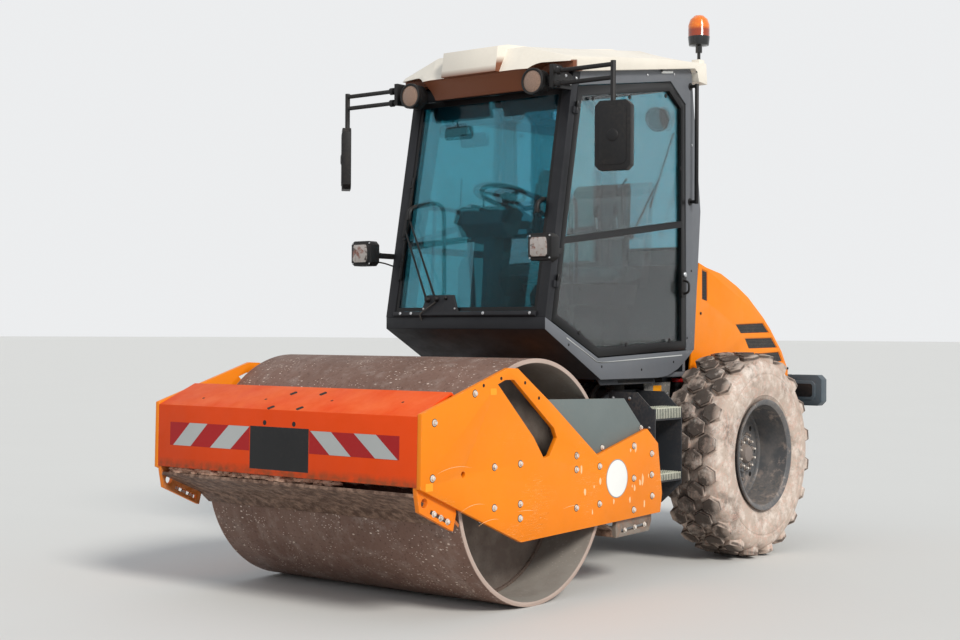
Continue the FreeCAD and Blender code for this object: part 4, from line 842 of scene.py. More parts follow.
def make_beam_details():
    sheets = Build()
    deep = (-0.003, 0, 0)
    for low_y, high_y, low_z, high_z, stripes in HAZARD_SHEETS:
        corners = [(low_y, low_z), (high_y, low_z), (high_y, high_z), (low_y, high_z)]
        sheets.slab([beam_face(y, z, 0.0008) for y, z in corners], deep, "red")
        for foot, wide, lean in stripes:
            corners = [(foot, low_z), (foot + wide, low_z), (foot + wide + lean, high_z), (foot + lean, high_z)]
            corners = [(min(max(y, low_y), high_y), z) for y, z in corners]
            sheets.slab([beam_face(y, z, 0.0012) for y, z in corners], deep, "silver")
    corners = [(-0.192, 0.667), (0.202, 0.667), (0.202, 0.871), (-0.192, 0.871)]
    sheets.slab([beam_face(y, z, 0.0003) for y, z in corners], deep, "plate_black")
    sheets.piece("hazard_sheets", "front_frame", 0)
    trim = Build()
    rise = Vector((0.395, 0, 0.919))
    # Dark slots on the beam's top: painted shade in the openings.
    for x, y in ((2.190, -0.072), (2.185, 0.116), (2.043, -0.069), (2.035, 0.122)):
        along = Vector((-0.042, 0.025, 0))
        across = Vector((0.0075, 0.0125, 0))
        corners = []
        for first, second in ((-0.5, -1), (0.5, -1), (0.62, 0), (0.5, 1), (-0.5, 1), (-0.62, 0)):
            offset = along * first * 0.6 + across * second
            corners.append(beam_top(x + offset.x, y + offset.y, 0.0004))
        trim.slab(corners, rise * -0.002, "dark")
    # Dark discs at the beam's holes: painted shade in the holes.
    for x, y in ((2.129, -0.619), (2.113, -0.188), (2.100, 0.242), (2.086, 0.672)):
        trim.turned(rise, beam_top(x, y, 0), [(-0.002, 0), (-0.002, 0.007), (0.0005, 0.007), (0.0005, 0)], "dark", 12)
    for y in (-0.093, 0.103):
        spot = beam_face(y, 0.889, 0)
        trim.turned((1, 0, 0), spot, [(-0.016, 0), (-0.016, 0.016), (-0.005, 0.019), (0.0002, 0.012), (0.0002, 0)],
                    "black", 18)
    trim.piece("beam_trim", "front_frame", 0)


make_beam_details()


# Dried soil that has caked under the beam and along the scraper

def make_soil():
    picker = random.Random(7)
    build = Build()
    for x, z, size, count, end in ((DRUM_X + 0.889, 0.628, 0.018, 130, 0.02), (DRUM_X + 0.872, 0.624, 0.022, 120, 0.35),
                                   (DRUM_X + 0.800, 0.640, 0.024, 90, 0.80)):
        for step in range(count):
            y = -0.80 + (end + 0.80) * (step + picker.random() * 0.8) / count
            centre = Vector((x + picker.uniform(-0.012, 0.006), y, z + picker.uniform(-0.012, 0.006)))
            reach = size * picker.uniform(0.5, 1.2)
            clod(build, picker, centre, Vector((reach * 0.8, reach * 1.6, reach * 0.8)))
    build.piece("caked_soil", "front_frame", 0)


def clod(build, picker, centre, reach):
    """A rough lump with uneven corners."""
    turns = 7
    points = [centre + Vector((0, 0, reach.z))]
    for level, wide in ((0.45, 0.85), (-0.35, 1.0)):
        for step in range(turns):
            turn = 2 * math.pi * (step + level) / turns
            rough = picker.uniform(0.75, 1.15)
            points.append(centre + Vector((math.cos(turn) * reach.x * wide * rough,
                                           math.sin(turn) * reach.y * wide * rough,
                                           reach.z * level * picker.uniform(0.7, 1.2))))
    points.append(centre - Vector((0, 0, reach.z * 0.8)))
    faces = []
    low = 1 + turns
    for step in range(turns):
        after = (step + 1) % turns
        faces.append((0, 1 + step, 1 + after))
        faces.append((1 + step, low + step, low + after, 1 + after))
        faces.append((low + step, 1 + 2 * turns, low + after))
    build.form(points, faces, "dirt")


make_soil()


# Drum ends: weld seams, a small lug and the bearing's bolts

def make_drum_details():
    build = Build()
    for name, side in SIDES:
        head = (DRUM_HALF - 0.300) * side
        centre = (DRUM_X, 0, DRUM_RADIUS)
        build.turned((0, 1, 0), centre, [(head - 0.004 * side, 0.5785), (head + 0.012 * side, 0.5785),
                                         (head + 0.010 * side, 0.566), (head - 0.004 * side, 0.562)], "weld", 96)
        for step in range(12):
            turn = math.radians(15 + 30 * step)
            spot = (DRUM_X + 0.21 * math.cos(turn), head, DRUM_RADIUS + 0.21 * math.sin(turn))
            build.bolt(spot, (0, side, 0), 0.014, "steel")
        for turn in (200, 20):
            turn = math.radians(turn)
            spot = Vector((DRUM_X + 0.574 * math.cos(turn), (DRUM_HALF - 0.05) * side,
                           DRUM_RADIUS + 0.574 * math.sin(turn)))
            build.turned((-math.cos(turn), 0, -math.sin(turn)), spot,
                         [(-0.006, 0), (-0.006, 0.022), (0.018, 0.020), (0.024, 0.012), (0.024, 0)], "drum_inside", 20)
    build.piece("drum_end_details", "drum")
    carriers = Build()
    for name, side in SIDES:
        for step in range(8):
            turn = math.radians(22.5 + 45 * step)
            spot = (DRUM_X + 0.140 * math.cos(turn), 0.589 * side, DRUM_RADIUS + 0.140 * math.sin(turn))
            carriers.bolt(spot, (0, side, 0), 0.010, "steel")
        for x, z in ((0.290, 0.607), (-0.378, 0.552)):
            for u, v in ((-0.045, 0.045), (0.045, 0.045), (-0.045, -0.045), (0.045, -0.045)):
                carriers.bolt((DRUM_X + x + u, 0.589 * side, z + v), (0, side, 0), 0.008, "steel")
    carriers.piece("carrier_bolts", "front_frame")


make_drum_details()


# Scraper bolts in their slots

def make_scraper_details():
    build = Build()
    inner = PLATE_Y - 0.025
    for name, side in SIDES:
        for x, z in ((0.795, 0.516), (0.747, 0.494), (0.700, 0.473)):
            build.bolt((DRUM_X + x, (inner - 0.001) * side, z), (0, side, 0), 0.013)
        for x, z in ((-0.945, 0.310), (-0.850, 0.304), (-0.755, 0.297)):
            build.bolt((DRUM_X + x, (inner - 0.001) * side, z), (0, side, 0), 0.012)
    build.piece("scraper_bolts", "front_frame")


make_scraper_details()


# Tyres: a smooth carcass with twenty lugs in each of four rings

TYRE_MIDDLE = (tyre_low.y + tyre_high.y) / 2
LUG_COUNT = 20
LUG_PITCH = 2 * math.pi / LUG_COUNT
# Rings of lugs: place across the tyre, place round it in pitches, drop of the top, lean in degrees
LUG_RINGS = [(0.042, 0, 0, 0), (-0.042, 0.5, 0, 0), (0.125, 0.5, 0.007, 8), (-0.125, 0, 0.007, -8)]
CARCASS = [
    (0.144, 0.3056), (0.150, 0.318), (0.162, 0.330), (0.166, 0.346), (0.176, 0.356), (0.178, 0.372),
    (0.184, 0.384), (0.188, 0.425), (0.189, 0.445), (0.1885, 0.470), (0.185, 0.474), (0.185, 0.484),
    (0.187, 0.488), (0.184, 0.515), (0.178, 0.536), (0.165, 0.552), (0.144, 0.563), (0.110, 0.571),
    (0.060, 0.577),
]


def make_tyre(name, side):
    build = Build()
    centre = Vector((AXLE_X, TYRE_MIDDLE * side, AXLE_Z))
    profile = CARCASS + [(-along, radius) for along, radius in reversed(CARCASS)]
    build.turned((0, side, 0), centre, profile, "tyre", 120)
    for across, phase, drop, lean in LUG_RINGS:
        for number in range(LUG_COUNT):
            turn = (number + phase) * LUG_PITCH
            radial = Vector((math.sin(turn), 0, math.cos(turn)))
            around = Vector((math.cos(turn), 0, -math.sin(turn)))
            sideways = Vector((0, side, 0))
            tilt = math.radians(lean)
            out = radial * math.cos(tilt) + sideways * math.sin(tilt)
            wide = sideways * math.cos(tilt) - radial * math.sin(tilt)
            top = centre + radial * (0.6072 - drop) + sideways * across
            rings = []
            for depth, reach in ((0.075 if lean else 0.042, 1.06), (0.003, 1.0), (0.0, 0.955)):
                ring = []
                for corner in range(6):
                    angle = math.radians(60 * corner)
                    ring.append(top - out * depth + around * (0.0575 * reach * math.cos(angle))
                                + wide * (0.0575 * reach * math.sin(angle)))
                rings.append(ring)
            points = rings[0] + rings[1] + rings[2]
            faces = [tuple(range(12, 18)), tuple(range(5, -1, -1))]
            for low in (0, 6):
                for corner in range(6):
                    after = (corner + 1) % 6
                    faces.append((low + corner, low + after, low + 6 + after, low + 6 + corner))
            build.form(points, faces, "tyre")
    build.piece("detailed_tyre_" + name, "wheel_" + name, 0.0025, 2, ["tyre_" + name])


for tyre_name, tyre_side in SIDES:
    make_tyre(tyre_name, tyre_side)


# Rims: nuts round the hub, hub cap, valve and a bead ring

def make_rim_details():
    for name, side in SIDES:
        build = Build()
        outward = (0, side, 0)
        disc = 0.710 * side
        build.turned(outward, (AXLE_X, disc, AXLE_Z), [(-0.001, 0.135), (-0.001, 0.196), (0.006, 0.194),
                                                       (0.006, 0.137)], "rim", 64)
        for step in range(10):
            turn = math.radians(36 * step)
            x, z = math.cos(turn), math.sin(turn)
            build.bolt((AXLE_X + 0.168 * x, disc + 0.006 * side, AXLE_Z + 0.168 * z), outward, 0.017, "rim_dusty")
            build.turned(outward, (AXLE_X + 0.168 * x, disc + 0.006 * side, AXLE_Z + 0.168 * z),
                         [(0.010, 0), (0.010, 0.009), (0.026, 0.009), (0.028, 0.006), (0.028, 0)], "rim_dusty", 12)
        cap = 0.780 * side
        build.turned(outward, (AXLE_X, cap, AXLE_Z), [(-0.002, 0), (-0.002, 0.058), (0.012, 0.054), (0.026, 0.046),
                                                      (0.030, 0.036), (0.030, 0)], "rim_dusty", 48)
        for step in range(10):
            turn = math.radians(18 + 36 * step)
            x, z = AXLE_X + 0.086 * math.cos(turn), AXLE_Z + 0.086 * math.sin(turn)
            build.bolt((x, cap, z), outward, 0.0135, "rim_dusty")
            build.turned(outward, (x, cap, z), [(0.008, 0), (0.008, 0.0075), (0.024, 0.0075), (0.026, 0.005),
                                                (0.026, 0)], "bolt", 12)
        # Dark discs at the holes in the rim's disc: painted shade in the holes.
        for step in range(10):
            turn = math.radians(36 * step)
            build.turned(outward, (AXLE_X + 0.235 * math.cos(turn), disc, AXLE_Z + 0.235 * math.sin(turn)),
                         [(-0.001, 0), (-0.001, 0.016), (0.0006, 0.016), (0.0006, 0)], "dark", 20)
        build.turned(outward, (AXLE_X, disc, AXLE_Z), [(0.000, 0.270), (0.000, 0.297), (0.012, 0.297),
                                                       (0.018, 0.290), (0.018, 0.280)], "rim", 72)
        stem = Vector((AXLE_X + 0.248, disc, AXLE_Z + 0.03))
        build.tube(arc([stem, stem + Vector((0, 0.05 * side, 0)), stem + Vector((-0.02, 0.085 * side, 0.002))], 0.02),
                   0.005, "black")
        build.piece("rim_details_" + name, "wheel_" + name, 0.0012)


make_rim_details()


# Hood: perforated vent plates, bolts, a blank sign, a latch

VENTS = [
    [(-1.290, 1.385), (-1.644, 1.396), (-1.722, 1.339), (-1.360, 1.332)],
    [(-1.411, 1.296), (-1.764, 1.301), (-1.836, 1.240), (-1.467, 1.235)],
    [(-1.606, 1.199), (-1.864, 1.208), (-1.912, 1.149), (-1.682, 1.143)],
    [(-0.870, 1.715), (-0.927, 1.703), (-0.931, 1.528), (-0.872, 1.539)],
]


def make_hood_details():
    low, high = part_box("hood")
    half = high.y
    plates = Build()
    bolts = Build()
    for name, side in SIDES:
        for vent in VENTS:
            span = sorted(((half - 0.006) * side, (half - 0.0035) * side))
            plates.prism("Y", vent, *span, "mesh_black")
        for x, z in ((-1.99, 1.10), (-1.20, 1.02), (-0.74, 1.02), (-1.75, 1.02), (-0.85, 1.45)):
            bolts.socket_screw((x, half * side, z), (0, side, 0), 0.009, "black")
        # Blank sign panel and the latch below it
        span = sorted((half * side - 0.001 * side, half * side + 0.0012 * side))
        plates.prism("Y", at(rounded(0.07, 0.05, 0.006), -0.86, 1.13), *span, "label")
        bolts.turned((0, side, 0), (-1.45, half * side, 1.075), [(-0.002, 0), (-0.002, 0.022), (0.004, 0.022),
                                                                 (0.006, 0.018), (0.006, 0)], "black", 32)
        bolts.prism("Y", at(rounded(0.026, 0.007, 0.003), -1.45, 1.075), *sorted(((half + 0.004) * side,
                                                                              (half + 0.009) * side)), "steel")
    plates.piece("hood_vents", "engine_hood", 0)
    bolts.piece("hood_fittings", "engine_hood", 0.0006)


make_hood_details()


# Cab side: gutter, a pale strip along the sill, small screws, locks, hinge clamps

def make_cab_side_details():
    sill_strips = Build()
    trim = Build()
    for name, side in SIDES:
        face = CAB_Y * side

        def spot(x, z, proud=0.0):
            return Vector((x, (CAB_Y + proud) * side, z))

        # A pale strip along the sill, just below the door.
        path = [(0.641, 1.297), (0.352, 1.166), (0.300, 1.162), (-0.541, 1.196)]
        for near, far in zip(path, path[1:]):
            corners = [spot(*near, -0.001), spot(*far, -0.001), spot(far[0], far[1] + 0.006, -0.001),
                       spot(near[0], near[1] + 0.006, -0.001)]
            sill_strips.slab(corners, (0, 0.0025 * side, 0), "pale_strip")
        # Dark discs at small holes in the cab side: painted shade in the holes.
        for x, z in ((0.305, 1.142), (-0.447, 1.160), (0.62, 1.262), (-0.10, 1.120), (-0.60, 1.30), (-0.645, 1.70)):
            trim.turned((0, side, 0), spot(x, z), [(-0.001, 0), (-0.001, 0.0075), (0.0006, 0.0075), (0.0006, 0)],
                        "dark", 14)
        gutter = arc([spot(0.596, 2.716, 0.006), spot(0.591, 2.728, 0.006), spot(-0.28, 2.858, 0.006),
                      spot(-0.30, 2.845, 0.006)], 0.01, 3)
        trim.tube(gutter, 0.0065, "black", 8)
        for x, z in ((0.560, 2.690), (0.20, 2.752), (-0.15, 2.803), (-0.44, 2.846), (-0.645, 2.45), (-0.700, 2.12)):
            trim.socket_screw(spot(x, z), (0, side, 0), 0.008, "steel")
        # Clamp that holds the mirror bracket to the front post
        trim.prism("Y", [(0.612, 2.640), (0.700, 2.640), (0.700, 2.660), (0.612, 2.660)],
                   *sorted(((CAB_Y + 0.001) * side, (CAB_Y + 0.012) * side)), "black")
        for x in (0.632, 0.680):
            trim.bolt(spot(x, 2.650, 0.012), (0, side, 0), 0.008, "steel")
        for x, z in ((0.66, 2.690), (0.735, 2.720)):
            trim.bolt(spot(x, z, 0.001), (0, side, 0), 0.008, "steel")
        # Low strip light under the rail
        trim.prism("Y", [(-0.30, 2.832), (-0.42, 2.849), (-0.42, 2.862), (-0.30, 2.845)],
                   *sorted(((CAB_Y - 0.001) * side, (CAB_Y + 0.006) * side)), "white")
        for x in (-0.625,):
            for z in (2.110, 2.797):
                trim.turned((0, side, 0), spot(x, z), [(-0.001, 0), (-0.001, 0.022), (0.005, 0.021), (0.005, 0)],
                            "black", 24)
    sill_strips.piece("sill_pale_strips", "rear_frame", 0)
    trim.piece("cab_side_fittings", "rear_frame", 0.0006)


make_cab_side_details()


def make_door_details():
    for name, side in SIDES:
        build = Build()
        face = CAB_Y - 0.002

        def spot(x, z, proud=0.0):
            return Vector((x, (face + proud) * side, z))

        # Outer lock plate, button and pull
        build.prism("Y", at(rounded(0.055, 0.165, 0.015), -0.556, 1.62), *sorted(((face - 0.001) * side,
                                                                              (face + 0.006) * side)), "black")
        build.turned((0, side, 0), spot(-0.556, 1.675, 0.006), [(-0.001, 0), (-0.001, 0.016), (0.010, 0.015),
                                                                (0.013, 0.011), (0.013, 0)], "steel", 28)
        pull = arc([spot(-0.556, 1.640, 0.003), spot(-0.556, 1.630, 0.040), spot(-0.556, 1.570, 0.040),
                    spot(-0.556, 1.560, 0.003)], 0.02, 4)
        build.tube(pull, 0.007, "black")
        # Glass clamps round the panes
        for x, z in ((0.035, 2.652), (-0.35, 2.708), (0.40, 2.600), (-0.525, 2.30), (0.060, 1.262), (-0.40, 1.284),
                     (0.52, 1.328)):
            build.turned((0, side, 0), spot(x, z), [(-0.001, 0), (-0.001, 0.013), (0.004, 0.012), (0.004, 0.005),
                                                    (0.002, 0.004), (0.002, 0)], "black", 20)
        # Inner latch rod and pull bar
        inner = -0.045
        bar = arc([spot(0.022, 1.935, inner), spot(0.022, 2.019, inner - 0.01), spot(0.022, 2.160, inner - 0.01),
                   spot(0.0, 2.200, inner)], 0.02, 3)
        build.tube(bar, 0.006, "black")
        rail = arc([spot(0.560, 1.835, -0.036), spot(0.545, 1.837, -0.075), spot(-0.440, 1.964, -0.075),
                    spot(-0.455, 1.966, -0.036)], 0.03, 4)
        build.tube(rail, 0.011, "black")
        build.piece("door_fittings_" + name, "door_" + name, 0.0006)


make_door_details()


# Windscreen: dark border, wiper pair, washer hose, cowl bolts

def screen(y, z, proud=0.0):
    """A point on the windscreen's outer face, or in front of it."""
    return Vector((0.822 - (z - 1.44) * 0.185, y, z)) + Vector((0.983, 0, 0.182)) * proud


def make_windscreen_details():
    half = CAB_Y - 0.060
    border = Build()
    band = 0.022
    inward = (-0.0012, 0, 0)
    for low_y, high_y, low_z, high_z in ((-half, half, 1.441, 1.462), (-half, half, 2.606, 2.639),
                                         (-half, band - half, 1.462, 2.606), (half - band, half, 1.462, 2.606)):
        corners = [screen(low_y, low_z, 0.001), screen(high_y, low_z, 0.001), screen(high_y, high_z, 0.001),
                   screen(low_y, high_z, 0.001)]
        border.slab(corners, inward, "border")
    border.piece("screen_border", "rear_frame", 0)
    wiper = Build()
    for y, z, end in ((-0.240, 1.505, screen(-0.478, 1.900, 0.030)), (-0.176, 1.509, screen(-0.470, 1.985, 0.030))):
        wiper.turned((1, 0, 0), (0.842, y, z), [(-0.002, 0), (-0.002, 0.017), (0.006, 0.016), (0.014, 0.012),
                                               (0.020, 0.010), (0.020, 0)], "black", 20)
        start = Vector((0.857, y, z))
        across = (end - start).cross(Vector((1, 0, 0.2))).normalized() * 0.0065
        thick = Vector((-0.005, 0, -0.001))
        wiper.slab([start - across, start + across, end + across * 0.7, end - across * 0.7], thick, "black")
    wiper.slab([screen(-0.493, 1.86, 0.031), screen(-0.473, 1.86, 0.031), screen(-0.463, 2.02, 0.031),
                screen(-0.483, 2.02, 0.031)], (-0.010, 0, -0.002), "black")
    wiper.slab([screen(-0.489, 1.62, 0.018), screen(-0.479, 1.62, 0.018), screen(-0.471, 2.20, 0.018),
                screen(-0.481, 2.20, 0.018)], (-0.005, 0, -0.001), "black")
    wiper.slab([screen(-0.4855, 1.615, 0.013), screen(-0.4825, 1.615, 0.013), screen(-0.4745, 2.205, 0.013),
                screen(-0.4775, 2.205, 0.013)], (-0.0115, 0, -0.0021), "rubber")
    for z in (1.70, 1.84, 2.02, 2.14):
        wiper.slab([screen(-0.491, z, 0.024), screen(-0.473, z, 0.024), screen(-0.472, z + 0.012, 0.024),
                    screen(-0.490, z + 0.012, 0.024)], (-0.010, 0, -0.002), "black")
    wiper.piece("wipers", "rear_frame", 0.0006)
    cowl = Build()
    for y in (-0.439, 0.462, 0.15, -0.36):
        cowl.bolt((0.846, y, 1.430), (1, 0, 0.2), 0.0075, "steel")
    for y in (-0.272, -0.048):
        cowl.socket_screw((0.842, y, 1.455), (1, 0, 0), 0.006, "steel")
    nozzle = Vector((0.843, -0.110, 1.512))
    cowl.turned((1, 0, 0.5), nozzle, [(-0.004, 0), (-0.004, 0.010), (0.008, 0.009), (0.014, 0.004), (0.014, 0)],
                "black", 16)
    cowl.tube(arc([(0.846, -0.174, 1.497), (0.851, -0.215, 1.470), (0.853, -0.278, 1.434), (0.8535, -0.290, 1.420),
                   (0.838, -0.292, 1.400), (0.828, -0.292, 1.385)], 0.02, 3), 0.004, "hose", 8)
    cowl.piece("cowl_fittings", "rear_frame", 0.0005)


make_windscreen_details()


# Rear window: border, wiper

def make_rear_window_details():
    half = CAB_Y - 0.060
    build = Build()
    upper = [(-0.7425, 2.062), (-0.6495, 2.819)]
    lower = [(-0.7335, 1.831), (-0.7425, 2.062)]
    for (x0, z0), (x1, z1) in (lower, upper):
        for low_y, high_y in ((-half, 0.022 - half), (half - 0.022, half)):
            build.slab([(x0, low_y, z0), (x0, high_y, z0), (x1, high_y, z1), (x1, low_y, z1)], (0.0012, 0, 0), "border")
    for x0, z0, x1, z1 in ((-0.7335, 1.831, -0.7345, 1.852), (-0.6535, 2.787, -0.6495, 2.819)):
        build.slab([(x0, -half, z0), (x0, half, z0), (x1, half, z1), (x1, -half, z1)], (0.0012, 0, 0), "border")
    pivot = Vector((-0.7385, 0.06, 1.93))
    build.turned((-1, 0, 0), pivot, [(-0.001, 0), (-0.001, 0.024), (0.012, 0.022), (0.020, 0.012), (0.020, 0)],
                 "black", 24)
    end = Vector((-0.747, 0.30, 2.32)) + Vector((-0.0, 0, 0))
    start = pivot + Vector((-0.017, 0, 0))
    across = Vector((0, 0.006, -0.004))
    end.x = -0.7425 + (end.z - 2.062) * 0.1228 - 0.020
    build.slab([start - across, start + across, end + across * 0.6, end - across * 0.6], (0.004, 0, 0), "black")
    blade = [Vector((-0.7425 + (z - 2.062) * 0.1228 - 0.012, y, z)) for y, z in ((0.20, 2.10), (0.40, 2.54))]
    sideways = Vector((0, 0.005, -0.002))
    build.slab([blade[0] - sideways, blade[0] + sideways, blade[1] + sideways, blade[1] - sideways],
               (0.009, 0, -0.001), "rubber")
    build.piece("rear_window_details", "rear_frame", 0.0004)


make_rear_window_details()


# Roof: seam clips, a lining with vents, visors and an inner mirror

def make_roof_details():
    low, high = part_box("cab_roof")
    half = high.y
    build = Build()
    for name, side in SIDES:
        for x in (0.42, 0.02, -0.36, -0.66):
            z = 2.790 + (0.640 - x) * 0.141 if x > -0.318 else 2.925
            build.prism("Y", at(rounded(0.045, 0.018, 0.004), x, z - 0.035), *sorted(((half - 0.002) * side,
                                                                                (half - 0.0001) * side)), "black")
    build.piece("roof_clips", "rear_frame", 0.0005)
    lining = Build()
    inner = CAB_Y - 0.064
    rise = Vector((-1.210, 0, 0.180)).normalized()
    front = Vector((0.545, 0, 2.710))
    down = Vector((-0.147, 0, -0.989))

    def under(along, y, drop):
        return front + rise * along + Vector((0, y, 0)) + down * drop

    lining.slab([under(0.012, -inner, 0.002), under(0.012, inner, 0.002), under(1.09, inner, 0.002),
                 under(1.09, -inner, 0.002)], down * 0.012, "lining")
    for along, y in ((0.20, 0.30), (0.20, -0.30), (0.20, 0.12), (0.20, -0.12), (0.80, 0.30), (0.80, -0.30)):
        lining.turned(down, under(along, y, 0.013), [(-0.002, 0), (-0.002, 0.042), (0.008, 0.040), (0.010, 0.034),
                                                     (0.004, 0.030), (0.004, 0)], "black", 32)
        for step in (-0.02, -0.007, 0.007, 0.02):
            reach = (0.031 ** 2 - step ** 2) ** 0.5
            lining.tube([under(along - reach, y + step, 0.021), under(along + reach, y + step, 0.021)], 0.0022,
                        "black", 6)
    for y in (0.40, -0.40):
        spot = Vector((-0.500, y, 2.600))
        lining.turned((0.75, 0, -0.35), spot, [(-0.05, 0), (-0.05, 0.060), (0.0, 0.078), (0.008, 0.076),
                                               (0.010, 0.066), (0.004, 0.060), (0.006, 0)], "black", 40)
    light = under(0.55, 0, 0.013)
    lining.slab([light + Vector((-0.05, -0.07, 0.0075)), light + Vector((0.05, -0.07, -0.0075)),
                 light + Vector((0.05, 0.07, -0.0075)), light + Vector((-0.05, 0.07, 0.0075))], down * 0.014, "white")
    lining.piece("roof_lining", "rear_frame", 0.0015)
    inside = Build()
    visor = [(0.516, -0.47), (0.516, -0.05), (0.516, 0.05), (0.516, 0.47)]
    for low_y, high_y in ((-0.46, -0.04), (0.04, 0.46)):
        inside.slab([(0.560, low_y, 2.645), (0.560, high_y, 2.645), (0.520, high_y, 2.530), (0.520, low_y, 2.530)],
                    (-0.010, 0, 0.003), "lining")
    inside.prism("X", at(rounded(0.20, 0.075, 0.02), -0.32, 2.470), 0.470, 0.486, "black")
    inside.prism("X", at(rounded(0.186, 0.063, 0.016), -0.32, 2.470), 0.4685, 0.471, "mirror")
    inside.tube([(0.482, -0.32, 2.50), (0.520, -0.32, 2.60), (0.545, -0.32, 2.66)], 0.006, "black", 8)
    inside.piece("visors_and_mirror", "rear_frame", 0.004)


make_roof_details()


# Lamps on the roof and beside the screen

def make_lamp_details():
    build = Build()
    for name, side in SIDES:
        centre = Vector((0.785, (CAB_Y - 0.127) * side, 2.656))
        build.turned((1, 0, 0), centre, [(-0.014, 0.0665), (-0.014, 0.071), (0.004, 0.071), (0.007, 0.067),
                                         (0.003, 0.058), (-0.001, 0.058)], "black", 48)
        build.turned((1, 0, 0), centre, [(-0.001, 0), (-0.001, 0.058), (0.001, 0.058), (0.005, 0.040), (0.007, 0.018),
                                         (0.0075, 0)], "lens", 40)
        for x in (0.712, 0.722, 0.732, 0.742, 0.752):
            build.turned((1, 0, 0), (x, centre.y, centre.z), [(0, 0.060), (0, 0.0685), (0.004, 0.0685),
                                                              (0.004, 0.060)], "black", 40)
        front = Vector((0.985, (CAB_Y + 0.065) * side, 1.765))
        build.prism("X", at(clipped(0.108, 0.098, 0.012), front.y, front.z), 0.984, 0.9862, "reflector")
        for u in (-0.036, 0.0, 0.036):
            build.prism("X", at(rounded(0.003, 0.092, 0.001), front.y + u, front.z), 0.9855, 0.9875, "reflector")
        for u, v in ((-0.062, -0.057), (0.062, -0.057), (-0.062, 0.057), (0.062, 0.057)):
            build.socket_screw((0.975, front.y + u, front.z + v), (1, 0, 0), 0.005, "steel")
        build.bolt((0.88, (CAB_Y + 0.015) * side, 1.7700), (0, 0, 1), 0.010, "steel")
        cable = arc([(0.906, front.y, 1.735), (0.880, front.y, 1.725), (0.840, (CAB_Y + 0.012) * side, 1.715),
                     (0.770, (CAB_Y + 0.006) * side, 1.700)], 0.02, 4)
        build.tube(cable, 0.0045, "rubber", 8)
    build.piece("lamp_lenses", "rear_frame", 0.0006)


make_lamp_details()


# Mirrors: glass on the rear, ball joint and clamp on the front

def make_mirror_details():
    build = Build()
    for (name, side), yaw in zip(SIDES, (12, 45)):
        turn = math.radians(yaw * side)
        middle = 0.555 + 0.475 - (0.0975 * math.cos(math.radians(yaw)) + 0.025 * math.sin(math.radians(yaw)))
        centre = Vector((0.758, middle * side, 2.333))
        ahead = Vector((math.cos(turn), math.sin(turn), 0))
        across = Vector((-math.sin(turn), math.cos(turn), 0))

        def spot(depth, wide, high):
            return centre + ahead * depth + across * wide + Vector((0, 0, high))

        glass = [spot(-0.0248, u, v) for u, v in rounded(0.172, 0.330, 0.022)]
        build.slab(glass, ahead * -0.0014, "mirror")
        lip = [spot(-0.0230, u, v) for u, v in rounded(0.186, 0.344, 0.026)]
        build.slab(lip, ahead * -0.0026, "black")
        build.turned(ahead, spot(0.024, 0, 0), [(-0.002, 0), (-0.002, 0.034), (0.006, 0.032), (0.010, 0.022),
                                                (0.010, 0)], "black", 28)
        cap = [spot(0.0245, u, v) for u, v in rounded(0.150, 0.300, 0.03)]
        build.slab(cap, ahead * 0.004, "black")
        arm_y = (middle - 0.008) * side
        for z in (2.632, 2.700):
            build.turned((0, 1, 0), (0.758, 0.585 * side, z), [(-0.012, 0), (-0.012, 0.020), (0.012, 0.020),
                                                               (0.012, 0)], "black", 20)
        for z in (2.345, 2.480):
            build.turned((0, 0, 1), (0.758, arm_y, z), [(-0.014, 0), (-0.014, 0.0175), (0.014, 0.0175), (0.014, 0)],
                         "black", 20)
    build.piece("mirror_details", "rear_frame", 0.001)


make_mirror_details()


# Steps: serrated treads, edge strips, bolts

def make_step_details():
    low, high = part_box("steps")
    build = Build()
    for name, side in SIDES:
        for top, inner in ((0.905, 0.600), (0.537, 0.600)):
            outer = high.y - 0.002
            span = sorted((inner * side, outer * side))
            build.block((low.x + 0.010, span[0], top - 0.002), (high.x - 0.010, span[1], top + 0.004), "tread")
            for row in range(9):
                y = (inner + 0.014 + row * (outer - inner - 0.028) / 8) * side
                for place in range(14):
                    x = low.x + 0.024 + place * (high.x - low.x - 0.048) / 13
                    build.turned((0, 0, 1), (x, y, top + 0.003), [(0, 0), (0, 0.0058), (0.005, 0.0038), (0.005, 0)],
                                 "tread", 6)
            edge = (outer + 0.0009) * side
            low_z = 0.840 if top > 0.8 else 0.494
            build.block((low.x + 0.009, min(edge, edge - 0.004 * side), low_z + 0.002),
                        (high.x - 0.009, max(edge, edge - 0.004 * side), top + 0.006), "tread")
            for place in range(16):
                x = low.x + 0.018 + place * (high.x - low.x - 0.036) / 15
                build.block((x - 0.004, min(edge, edge + 0.0008 * side), low_z + 0.010),
                            (x + 0.004, max(edge, edge + 0.0008 * side), top + 0.002), "tread")
        for x in (low.x - 0.0, high.x):
            for y, z in ((0.450, 0.960), (0.560, 0.960), (0.460, 0.600), (0.690, 0.800)):
                build.bolt((x, y * side, z), (-1 if x == low.x else 1, 0, 0), 0.009, "steel")
    build.piece("step_treads", "rear_frame", 0.0005)


make_step_details()


# Rear frame sides: cover plates, blank label, bolts; rear lamps; counterweight

